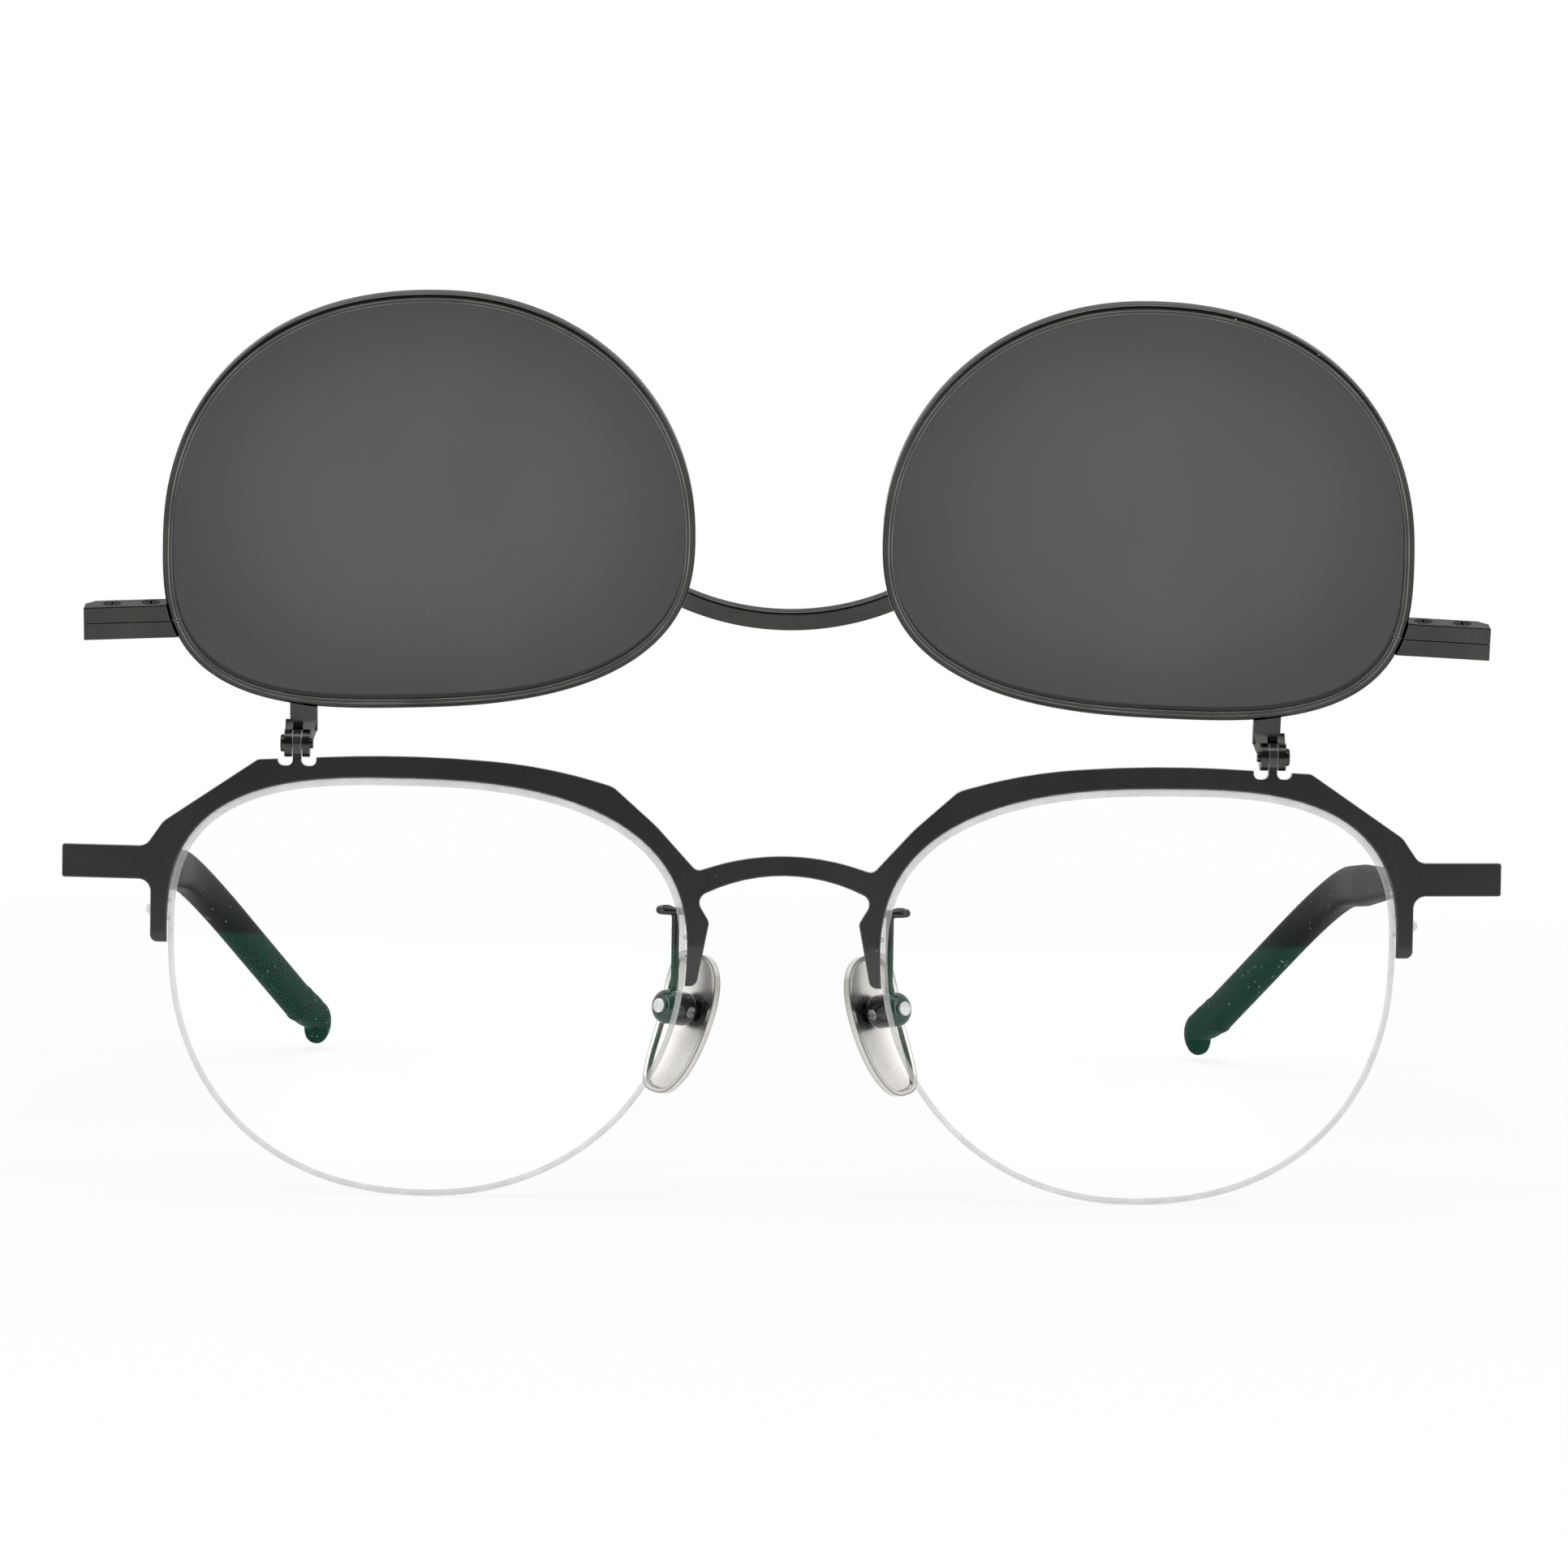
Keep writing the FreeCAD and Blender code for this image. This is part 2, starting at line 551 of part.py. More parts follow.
def make_lock_screws():
    screws = []
    for x in lock_screw_x():
        seat = Vector(x, lock_screw_y(x), LOCK_BOTTOM_Z)
        shank = Part.makeCylinder(LOCK_SCREW_RADIUS, LOCK_SCREW_LENGTH, seat)
        head = Part.makeCylinder(LOCK_HEAD_RADIUS, LOCK_HEAD_HEIGHT, seat)
        screws.append(shank.fuse(head).cut(cross_recess(seat, -Z_AXIS)).removeSplitter())
    return Part.makeCompound(screws)


def ear_starts():
    """Lower x of the two ears of the right bracket."""
    inner = FLIP_X - TAB_WIDTH / 2 - EAR_CLEARANCE - EAR_THICKNESS
    outer = FLIP_X + TAB_WIDTH / 2 + EAR_CLEARANCE
    return inner, outer


def make_flip_bracket():
    """Plate on top of the sun rim with two ears round the tab."""
    plate_back = FLIP_Y - TAB_RADIUS - BRACKET_TAB_GAP
    plate_top = FLIP_HEIGHT - BRACKET_TOP_DROP
    middle = FLIP_X - BRACKET_SHIFT
    plate = box(middle - BRACKET_WIDTH / 2, middle + BRACKET_WIDTH / 2,
                plate_back - BRACKET_THICKNESS, plate_back, LENS_TEMPORAL_Z, plate_top)
    folds = [edge for edge in plate.Edges
             if edge.CenterOfMass.z > plate_top - CLOSE and edge.Length > BRACKET_THICKNESS]
    bracket = plate.makeFillet(BRACKET_ROUNDING, folds).cut(lens_prism(RIM_GROW))
    root = Vector(0, plate_back - BRACKET_THICKNESS / 2, plate_top - BRACKET_ARM_WIDTH / 2)
    inner, outer = ear_starts()
    for start, root_start in ((inner, middle - BRACKET_WIDTH / 2), (outer, outer)):
        arm = ear_arm(root, root_start, start)
        centre = FLIP_AXIS_POINT + X_AXIS * start
        disc = Part.makeCylinder(EAR_RADIUS, EAR_THICKNESS, centre, X_AXIS)
        bore_start = centre - X_AXIS * PIVOT_END_LENGTH
        bore_length = PIVOT_END_LENGTH + EAR_THICKNESS
        bore = Part.makeCylinder(PIVOT_RADIUS + SCREW_CLEARANCE, bore_length, bore_start, X_AXIS)
        bracket = bracket.fuse(arm.fuse(disc)).cut(bore)
    return bracket.removeSplitter()


def ear_arm(root, root_start, start):
    """Arm of one ear, from root_start on the plate to its start at the pivot."""
    along = (root - FLIP_AXIS_POINT).normalize()
    across = X_AXIS.cross(along) * (BRACKET_ARM_WIDTH / 2)
    end = X_AXIS * (start + EAR_THICKNESS)
    sections = []
    for point, low in ((root, X_AXIS * root_start), (FLIP_AXIS_POINT, X_AXIS * start)):
        corners = [point + across + low, point + across + end, point - across + end, point - across + low]
        sections.append(Part.makePolygon(corners + corners[:1]))
    return Part.makeLoft(sections, True, True)


def make_flip_screw():
    inner, outer = ear_starts()
    head_start = outer + EAR_THICKNESS
    start = Vector(inner - PIVOT_END_LENGTH, FLIP_Y, FLIP_HEIGHT)
    shank = Part.makeCylinder(PIVOT_RADIUS, head_start - start.x, start, X_AXIS)
    seat = Vector(head_start, FLIP_Y, FLIP_HEIGHT)
    head = Part.makeCylinder(PIVOT_HEAD_RADIUS, PIVOT_HEAD_HEIGHT, seat, X_AXIS)
    head = head.makeFillet(PIVOT_HEAD_ROUNDING, [head.Edges[0]])
    top = seat + X_AXIS * PIVOT_HEAD_HEIGHT
    return shank.fuse(head).cut(cross_recess(top, X_AXIS)).removeSplitter()


def pad_frame():
    """Placement of the right pad, from its stud: width along X, length along Y and outward normal along Z."""
    splay = math.radians(PAD_SPLAY)
    turn = math.radians(PAD_TURN)
    length = Vector(-math.sin(splay), 0, math.cos(splay))
    across = Vector(math.cos(splay), 0, math.sin(splay))
    width = across * math.sin(turn) + Y_AXIS * math.cos(turn)
    normal = length.cross(width)
    matrix = FreeCAD.Matrix(
        -width.x, length.x, normal.x, PAD_STUD_POINT.x,
        -width.y, length.y, normal.y, PAD_STUD_POINT.y,
        -width.z, length.z, normal.z, PAD_STUD_POINT.z,
    )
    return FreeCAD.Placement(matrix)


def on_pad(shape):
    """A piece drawn in the pad's own axes, put where the right pad sits."""
    return shape.transformed(pad_frame().toMatrix())


def pad_prism(offset):
    points = []
    for step in range(4 * QUARTER_POINTS):
        angle = math.pi / 2 * step / QUARTER_POINTS
        across, along = superellipse_point(PAD_WIDTH / 2, PAD_LENGTH / 2, PAD_POWER, angle, offset)
        across *= 1 + PAD_TAPER * along / (PAD_LENGTH / 2)
        points.append(Vector(across, along - PAD_DROP, -PAD_CURVATURE / 2))
    return Part.Face(closed_spline(points)).extrude(Z_AXIS * PAD_CURVATURE)


def make_nose_pad():
    """Thin dished pad with a deeper rim, bored for its stud."""
    centre = Vector(0, 0, -PAD_CURVATURE)
    outer = Part.makeSphere(PAD_CURVATURE, centre)
    inner = Part.makeSphere(PAD_CURVATURE - PAD_THICKNESS, centre)
    deep = Part.makeSphere(PAD_CURVATURE - PAD_RIM_DEPTH, centre)
    dish = pad_prism(0.0).common(outer).cut(inner)
    rim = pad_prism(0.0).cut(pad_prism(-PAD_RIM_WIDTH)).common(outer).cut(deep)
    bore = Part.makeCylinder(PAD_ROCK_RADIUS, PAD_CURVATURE, Vector(0, 0, -PAD_CURVATURE / 2))
    pad = dish.fuse(rim).removeSplitter().cut(bore)
    return on_pad(pad)


def make_pad_stud():
    """Stud through pad and barrel, with a flat head behind the barrel."""
    barrel_end = -PAD_THICKNESS - PAD_BARREL_GAP - PAD_BARREL_LENGTH
    head_start = barrel_end - PIVOT_CLEARANCE - PAD_STUD_HEAD_HEIGHT
    shank = Part.makeCylinder(PAD_ROCK_RADIUS, -head_start, Vector(0, 0, head_start))
    head = Part.makeCylinder(PAD_STUD_HEAD_RADIUS, PAD_STUD_HEAD_HEIGHT, Vector(0, 0, head_start))
    return on_pad(shank.fuse(head).removeSplitter())


def barrel_blank():
    """Barrel without its holes, in the pad's own axes."""
    start = Vector(0, 0, -PAD_THICKNESS - PAD_BARREL_GAP - PAD_BARREL_LENGTH)
    barrel = Part.makeCylinder(PAD_BARREL_RADIUS, PAD_BARREL_LENGTH, start)
    ends = [edge for edge in barrel.Edges if len(edge.Vertexes) == 1]
    return barrel.makeFillet(PAD_BARREL_ROUNDING, ends)


def pad_screw_steps():
    """Start and radius of the lock screw's shank and head along the pad's X axis."""
    head = PAD_BARREL_RADIUS - PAD_SCREW_HEAD_HEIGHT
    return (head - PAD_SCREW_LENGTH, PAD_SCREW_RADIUS), (head, PAD_SCREW_HEAD_RADIUS)


def pad_screw_solid(clearance, end):
    z = -PAD_THICKNESS - PAD_BARREL_GAP - PAD_SCREW_FROM_PAD
    steps = []
    for start, radius in pad_screw_steps():
        base = Vector(start - clearance, 0, z)
        steps.append(Part.makeCylinder(radius + clearance, end - base.x, base, X_AXIS))
    return steps[0].fuse(steps[1]).removeSplitter()


def make_pad_barrel():
    """Barrel that the stud turns in, with the hole for the lock screw."""
    start = Vector(0, 0, -2 * PAD_BARREL_LENGTH)
    bore = Part.makeCylinder(PAD_ROCK_RADIUS + PIVOT_CLEARANCE, 4 * PAD_BARREL_LENGTH, start)
    return on_pad(barrel_blank().cut(bore).cut(pad_screw_solid(SCREW_CLEARANCE, 2 * PAD_BARREL_RADIUS)))


def make_pad_screw():
    screw = pad_screw_solid(0.0, PAD_BARREL_RADIUS)
    slot = Part.makeBox(RECESS_DEPTH, RECESS_WIDTH, RECESS_LENGTH)
    z = -PAD_THICKNESS - PAD_BARREL_GAP - PAD_SCREW_FROM_PAD
    slot.translate(Vector(PAD_BARREL_RADIUS - RECESS_DEPTH / 2, -RECESS_WIDTH / 2, z - RECESS_LENGTH / 2))
    return on_pad(screw.cut(slot))


def make_pad_arm():
    """Bent wire from the back of the nose lug to the barrel."""
    root_x, root_z = ARM_ROOT
    drop_x, drop_y = ARM_DROP
    points = [
        Vector(root_x, 0.0, root_z),
        Vector(root_x, ARM_LOOP_Y, root_z),
        Vector(ARM_LOOP_X, ARM_LOOP_Y, root_z),
        Vector(ARM_LOOP_X, drop_y, root_z),
        Vector(drop_x, drop_y, root_z),
        Vector(drop_x, drop_y, PAD_STUD_POINT.z),
    ]
    wire = tube(points, ARM_BEND_RADIUS, ARM_WIRE_RADIUS)
    behind_sheet = Part.makeSphere(WRAP_RADIUS - SHEET_THICKNESS, WRAP_CENTRE)
    below = box(0, 2 * drop_x, 0, 2 * drop_y, 0, PAD_STUD_POINT.z + ARM_WIRE_RADIUS)
    return wire.common(behind_sheet).cut(on_pad(barrel_blank())).cut(below)


def knuckle(bottom, height, side_y):
    """Round knuckle on the hinge axis with a neck to side_y."""
    centre = Vector(HINGE_X, HINGE_Y, bottom)
    neck = box(HINGE_X - KNUCKLE_RADIUS, HINGE_X + KNUCKLE_RADIUS, side_y, HINGE_Y, bottom, bottom + height)
    return Part.makeCylinder(KNUCKLE_RADIUS, height, centre).fuse(neck)


def hinge_hole(radius):
    return Part.makeCylinder(radius, HINGE_HEIGHT, Vector(HINGE_X, HINGE_Y, HINGE_TOP_Z - HINGE_HEIGHT))


def hinge_head(clearance):
    top = HINGE_HEAD_HEIGHT + clearance
    return Part.makeCylinder(HINGE_HEAD_RADIUS + clearance, top, Vector(HINGE_X, HINGE_Y, HINGE_TOP_Z - top))


def make_hinge_block():
    """Block on the back of the endpiece with the upper and lower knuckles."""
    bottom = HINGE_TOP_Z - HINGE_HEIGHT
    left = HINGE_X - KNUCKLE_RADIUS
    block = box(left, left + HINGE_BLOCK_WIDTH, 0.0, HINGE_STOP_Y, bottom, HINGE_TOP_Z)
    block = block.common(Part.makeSphere(WRAP_RADIUS - SHEET_THICKNESS, WRAP_CENTRE))
    block = block.fuse(knuckle(bottom, KNUCKLE_HEIGHT, HINGE_STOP_Y))
    block = block.fuse(knuckle(HINGE_TOP_Z - KNUCKLE_HEIGHT, KNUCKLE_HEIGHT, HINGE_STOP_Y))
    hole = hinge_hole(HINGE_SCREW_RADIUS + SCREW_CLEARANCE)
    return block.cut(hole).cut(hinge_head(SCREW_CLEARANCE)).removeSplitter()


def make_hinge_screw():
    top = Vector(HINGE_X, HINGE_Y, HINGE_TOP_Z)
    screw = hinge_hole(HINGE_SCREW_RADIUS).fuse(hinge_head(0.0))
    return screw.cut(cross_recess(top, Z_AXIS)).removeSplitter()


def temple_x():
    return HINGE_X + TEMPLE_OFFSET


def temple_z(y):
    """Height of the temple's centreline."""
    start = HINGE_STOP_Y + TEMPLE_STOP_GAP
    return HINGE_TOP_Z - HINGE_HEIGHT / 2 - (y - start) * math.tan(math.radians(TEMPLE_SLOPE))


def make_temple_leaf():
    """Middle knuckle and the plate that fixes it to the temple."""
    bottom = HINGE_TOP_Z - HINGE_HEIGHT + KNUCKLE_HEIGHT + KNUCKLE_CLEARANCE
    height = HINGE_HEIGHT - 2 * (KNUCKLE_HEIGHT + KNUCKLE_CLEARANCE)
    plate_x = temple_x() - LEAF_THICKNESS
    plate_y = HINGE_Y + KNUCKLE_RADIUS + LEAF_THICKNESS / 2
    pin = Part.makeCylinder(KNUCKLE_RADIUS, height, Vector(HINGE_X, HINGE_Y, bottom))
    top = bottom + height
    neck = box(HINGE_X, temple_x(), HINGE_Y - LEAF_THICKNESS, HINGE_Y + KNUCKLE_RADIUS, bottom, top)
    plate = box(plate_x, temple_x(), HINGE_Y, plate_y + LEAF_LENGTH, bottom, top)
    leaf = pin.fuse(neck).fuse(plate)
    return leaf.cut(hinge_hole(HINGE_SCREW_RADIUS + HINGE_SCREW_CLEARANCE)).removeSplitter()


def temple_profile(y0, y1, height0, height1, clearance):
    """Straight strip of the temple between two depths, square to its slope, from its height at either end."""
    slope = math.radians(TEMPLE_SLOPE)
    upward = Vector(0, math.sin(slope), math.cos(slope))
    start = Vector(temple_x() - clearance, y0, temple_z(y0))
    end = Vector(temple_x() - clearance, y1, temple_z(y1))
    rise0 = upward * (height0 / 2 + clearance)
    rise1 = upward * (height1 / 2 + clearance)
    outline = Part.makePolygon([start + rise0, end + rise1, end - rise1, start - rise0, start + rise0])
    return Part.Face(outline).extrude(X_AXIS * (TEMPLE_THICKNESS + 2 * clearance))


def temple_core(clearance):
    """Core of the temple inside the tip."""
    end = TIP_START_Y + CORE_LENGTH + clearance
    return temple_profile(TIP_START_Y, end, CORE_HEIGHT, CORE_HEIGHT, clearance)


def make_temple_arm():
    start = HINGE_STOP_Y + TEMPLE_STOP_GAP
    strip = temple_profile(start, TIP_START_Y, TEMPLE_HEIGHT, TEMPLE_REAR_HEIGHT, 0.0)
    ends = [edge for edge in strip.Edges
            if edge.CenterOfMass.y < start + TEMPLE_HEIGHT and edge.BoundBox.XLength > TEMPLE_THICKNESS / 2]
    return strip.makeFillet(TEMPLE_END_ROUNDING, ends).fuse(temple_core(0.0)).removeSplitter()


def path_point(edges, distance):
    """Point and direction at a distance along joined edges."""
    for edge in edges:
        if distance <= edge.Length or edge is edges[-1]:
            parameter = edge.getParameterByLength(min(distance, edge.Length))
            return edge.valueAt(parameter), edge.tangentAt(parameter)
        distance -= edge.Length


def turn_between(before, after):
    """Smallest rotation from one direction to another."""
    angle = before.getAngle(after)
    if angle < 1e-6:
        return FreeCAD.Rotation()
    return FreeCAD.Rotation(before.cross(after), math.degrees(angle))


def temple_upward():
    """Direction square to the straight temple, in its own upright plane."""
    slope = math.radians(TEMPLE_SLOPE)
    return Vector(0, math.sin(slope), math.cos(slope))


def tip_ring(point, turn, height, width):
    """Closed section of the tip; turn brings the upright section of the straight temple to the path here."""
    across = turn.multVec(X_AXIS)
    upward = turn.multVec(temple_upward())
    points = []
    for step in range(TIP_SECTION_POINTS):
        angle = 2 * math.pi * step / TIP_SECTION_POINTS
        a, b = superellipse_point(width / 2, height / 2, TIP_POWER, angle, 0.0)
        points.append(point + across * a + upward * b)
    return closed_spline(points)


def make_temple_tip():
    """Plastic tip round the rear of the temple, bent down and inward behind the ear to a small toe."""
    middle_x = temple_x() + TEMPLE_THICKNESS / 2
    start = Vector(middle_x, TIP_START_Y, temple_z(TIP_START_Y))
    full = Vector(middle_x, TIP_FULL_Y, temple_z(TIP_FULL_Y))
    bend = Vector(middle_x, TIP_BEND_Y, temple_z(TIP_BEND_Y))
    heel = bend + TIP_HEEL_STEP
    straight = (bend - start).normalize()
    hook = (heel - bend).normalize()
    hook_turn = turn_between(straight, hook)
    taper = heel - hook * TIP_TAPER_LENGTH
    lifted = heel + hook_turn.multVec(temple_upward()) * TIP_HEEL_LIFT
    toe = lifted + TIP_TOE_STEP
    spine = Part.Wire(rounded_edges([(full, 0), (bend, TIP_BEND_RADIUS), (taper, 0)], closed=False))
    full_ring = tip_ring(full, FreeCAD.Rotation(), TIP_HEIGHT, TIP_WIDTH)
    body = spine.makePipeShell([full_ring], True, False)
    mouth_ring = tip_ring(start, FreeCAD.Rotation(), TIP_MOUTH_HEIGHT, TIP_MOUTH_WIDTH)
    sleeve = Part.makeLoft([mouth_ring, full_ring], True, True)
    mouth_edges = [edge for edge in sleeve.Edges if abs(edge.CenterOfMass.y - TIP_START_Y) < TIP_ROUNDING]
    sleeve = sleeve.makeFillet(TIP_ROUNDING, mouth_edges)
    toe_edges = rounded_edges([(taper, 0), (lifted, TIP_HEEL_RADIUS), (toe, 0)], closed=False)
    total = sum(edge.Length for edge in toe_edges)
    taper_along = path_point(toe_edges, 0.0)[1]
    rings = []
    for step in range(TOE_SECTIONS + 1):
        share = math.sin(math.pi / 2 * step / TOE_SECTIONS)  # closer together at the round end
        point, along = path_point(toe_edges, total * share)
        turn = turn_between(taper_along, along).multiply(hook_turn)
        blunt = math.sqrt(1.0 - TOE_BLUNTNESS * share ** TOE_POWER)
        narrowing = share ** 2 * (3 - 2 * share)
        height = (TIP_HEIGHT + (TIP_TOE_HEIGHT - TIP_HEIGHT) * narrowing) * blunt
        width = (TIP_WIDTH + (TIP_TOE_WIDTH - TIP_WIDTH) * share) * blunt
        rings.append(tip_ring(point, turn, height, width))
    return sleeve.fuse([body, Part.makeLoft(rings, True, False)]).cut(temple_core(CORE_CLEARANCE))


def pair(name, maker):
    """Right-hand piece and its mirrored left-hand twin."""
    right = maker()
    return {"right_" + name: right, "left_" + name: mirrored(right)}


def assemble():
    front = {"front_sheet": make_front_sheet()}
    for name, maker in (
        ("clear_lens", make_clear_lens),
        ("rim_liner", make_rim_liner),
        ("lens_cord", make_lens_cord),
        ("pad_arm", make_pad_arm),
        ("pad_barrel", make_pad_barrel),
        ("pad_screw", make_pad_screw),
        ("pad_stud", make_pad_stud),
        ("nose_pad", make_nose_pad),
        ("hinge_block", make_hinge_block),
        ("hinge_screw", make_hinge_screw),
        ("temple_leaf", make_temple_leaf),
        ("temple_arm", make_temple_arm),
        ("temple_tip", make_temple_tip),
    ):
        front.update(pair(name, maker))
    sun = {"sun_bridge": make_sun_bridge()}
    for name, maker in (
        ("sun_rim", make_sun_rim),
        ("sun_lens", make_sun_lens),
        ("lock_block_upper", lambda: make_lock_block(RIM_SPLIT_Z + RIM_SPLIT_WIDTH / 2, LOCK_TOP_Z)),
        ("lock_block_lower", lambda: make_lock_block(RIM_SPLIT_Z - RIM_SPLIT_WIDTH / 2, LOCK_BOTTOM_Z)),
        ("lock_screws", make_lock_screws),
        ("flip_bracket", make_flip_bracket),
        ("flip_screw", make_flip_screw),
    ):
        sun.update(pair(name, maker))
    for shape in sun.values():
        shape.rotate(FLIP_AXIS_POINT, X_AXIS, -FLIP_OPEN_ANGLE)
    front.update(sun)
    return front


def metres(point):
    return [round(value / 1000.0, 7) for value in point]


pieces = assemble()
extent = Part.makeCompound(list(pieces.values())).optimalBoundingBox(True)
origin = Vector((extent.XMin + extent.XMax) / 2, (extent.YMin + extent.YMax) / 2, extent.ZMin)
os.makedirs("parts", exist_ok=True)
for name, shape in pieces.items():
    shape.translated(-origin).exportStep("parts/" + name + ".step")

pad_normal = pad_frame().Rotation.multVec(Z_AXIS)
print("size", extent.XLength, extent.YLength, extent.ZLength)
print("flip axis", metres(FLIP_AXIS_POINT - origin))
print("right hinge axis", metres(Vector(HINGE_X, HINGE_Y, HINGE_TOP_Z) - origin))
print("right pad stud", metres(PAD_STUD_POINT - origin), [round(value, 7) for value in pad_normal])
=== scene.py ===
import math

import bpy
from mathutils import Matrix, Vector


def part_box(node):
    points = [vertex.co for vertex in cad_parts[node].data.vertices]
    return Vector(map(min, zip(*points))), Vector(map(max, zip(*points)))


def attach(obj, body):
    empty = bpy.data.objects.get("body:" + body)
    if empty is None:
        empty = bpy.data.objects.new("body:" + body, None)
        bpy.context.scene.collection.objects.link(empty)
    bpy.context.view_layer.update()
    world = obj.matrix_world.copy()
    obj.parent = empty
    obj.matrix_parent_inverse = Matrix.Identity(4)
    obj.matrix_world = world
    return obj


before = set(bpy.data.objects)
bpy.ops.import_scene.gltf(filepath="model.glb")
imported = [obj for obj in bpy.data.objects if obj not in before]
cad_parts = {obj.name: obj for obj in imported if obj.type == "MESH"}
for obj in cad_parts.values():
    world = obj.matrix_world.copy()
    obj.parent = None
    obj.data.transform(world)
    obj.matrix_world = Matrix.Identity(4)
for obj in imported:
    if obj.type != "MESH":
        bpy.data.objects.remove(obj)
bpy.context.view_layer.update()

MM = 0.001

# Camera. The picture is square, and the object leans clockwise in it by ROLL.
SENSOR_WIDTH = 36.0  # millimetres
CAMERA_LENGTH = 135.3  # millimetres
CAMERA_NEAR = 0.01
CAMERA_PLACE = Vector((-0.01262, -0.6322, 0.07856))
CAMERA_AIM = Vector((-0.00022, -0.0632, 0.04086))
ROLL = math.radians(0.9)

# Sweep of white paper. A share of it takes the shadow, in full near the object and none beyond SHADOW_REACH.
WHITE = (1.0, 1.0, 1.0, 1.0)
PAPER = (0.92, 0.92, 0.92, 1.0)
PAPER_LIFT = 0.15  # glow that brings lit paper up to white
SWEEP_FRONT = -0.41
SWEEP_BACK = 4.0
SWEEP_HALF_WIDTH = 3.0
SWEEP_DROP = 0.00005
SHADOW_SHARE = 0.22
SHADOW_REACH = 0.35
SHADOW_FULL = 0.105

# Room. Levels are in units where 1 is white paper.
AMBIENT = 0.45
ROOM_BEHIND_CAMERA = 0.10
ROOM_DIM = -0.75  # mirrors that look this far back along y see the dim room behind the camera
ROOM_LIT = -0.15  # and from here on they see the white one
BOX_AIM = Vector((0.0, -0.04, 0.04))
SOFT_BOXES = {
    # name: (place, width, height, watts)
    "top_box": ((0.0, -0.15, 0.85), 0.9, 0.5, 3.0),
    "left_box": ((-0.75, -0.35, 0.35), 0.35, 0.7, 1.2),
    "right_box": ((0.75, -0.35, 0.35), 0.35, 0.7, 1.2),
}

# Nylon ends: the cord goes out through a hole in each lug, round and back through another.
CORD_RADIUS = 0.22 * MM
CORD_HALF_WIDTH = 0.24 * MM  # of the cord's solid, from front to back
LUG_LOOPS = {
    # name: (reach beyond the edge of the lens, height of the loop, half the spread of the holes)
    "temple_cord_loop": (2.0 * MM, 27.45 * MM, 0.92 * MM),
    "nose_cord_loop": (0.95 * MM, 24.65 * MM, 1.25 * MM),
}
LOOP_BEND = ((0.45, 0.75), (0.90, 0.35), (1.0, 0.0))  # (share of the reach, share of the spread)
SPLINE_ORDER = 3
SPLINE_STEPS = 6

# Solder beads where the pad wires stand on the sheet: (height above the sheet, radius) in millimetres
ARM_WIRE_RADIUS = 0.38 * MM
BEAD_RINGS = ((-0.05, 0.80), (0.04, 0.74), (0.14, 0.58), (0.28, 0.47), (0.45, 0.41), (0.62, 0.385))
TUBE_SIDES = 20

# Edge masks start and are full at these cosines between the rounded normal and the flat one.
EDGE_START = 0.99
EDGE_FULL = 0.85
BEVEL_SAMPLES = 6

# Colour sockets of the Mix node
MIX_FIRST = 6
MIX_SECOND = 7
MIX_RESULT = 2


class Wire:
    """An output socket, so that shader maths reads as plain expressions."""

    def __init__(self, graph, socket):
        self.graph = graph
        self.socket = socket

    def beside(self, name):
        """Another output of the same node."""
        return Wire(self.graph, self.socket.node.outputs[name])

    def maths(self, operation, *terms):
        return self.graph.node("ShaderNodeMath", {"operation": operation}, dict(enumerate(terms)))

    def __add__(self, other):
        return self.maths("ADD", self, other)

    def __radd__(self, other):
        return self.maths("ADD", other, self)

    def __sub__(self, other):
        return self.maths("SUBTRACT", self, other)

    def __rsub__(self, other):
        return self.maths("SUBTRACT", other, self)

    def __mul__(self, other):
        return self.maths("MULTIPLY", self, other)

    def __rmul__(self, other):
        return self.maths("MULTIPLY", other, self)

    def __truediv__(self, other):
        return self.maths("DIVIDE", self, other)

    def __pow__(self, other):
        return self.maths("POWER", self, other)

    def __lt__(self, other):
        return self.maths("LESS_THAN", self, other)

    def __abs__(self):
        return self.maths("ABSOLUTE", self)


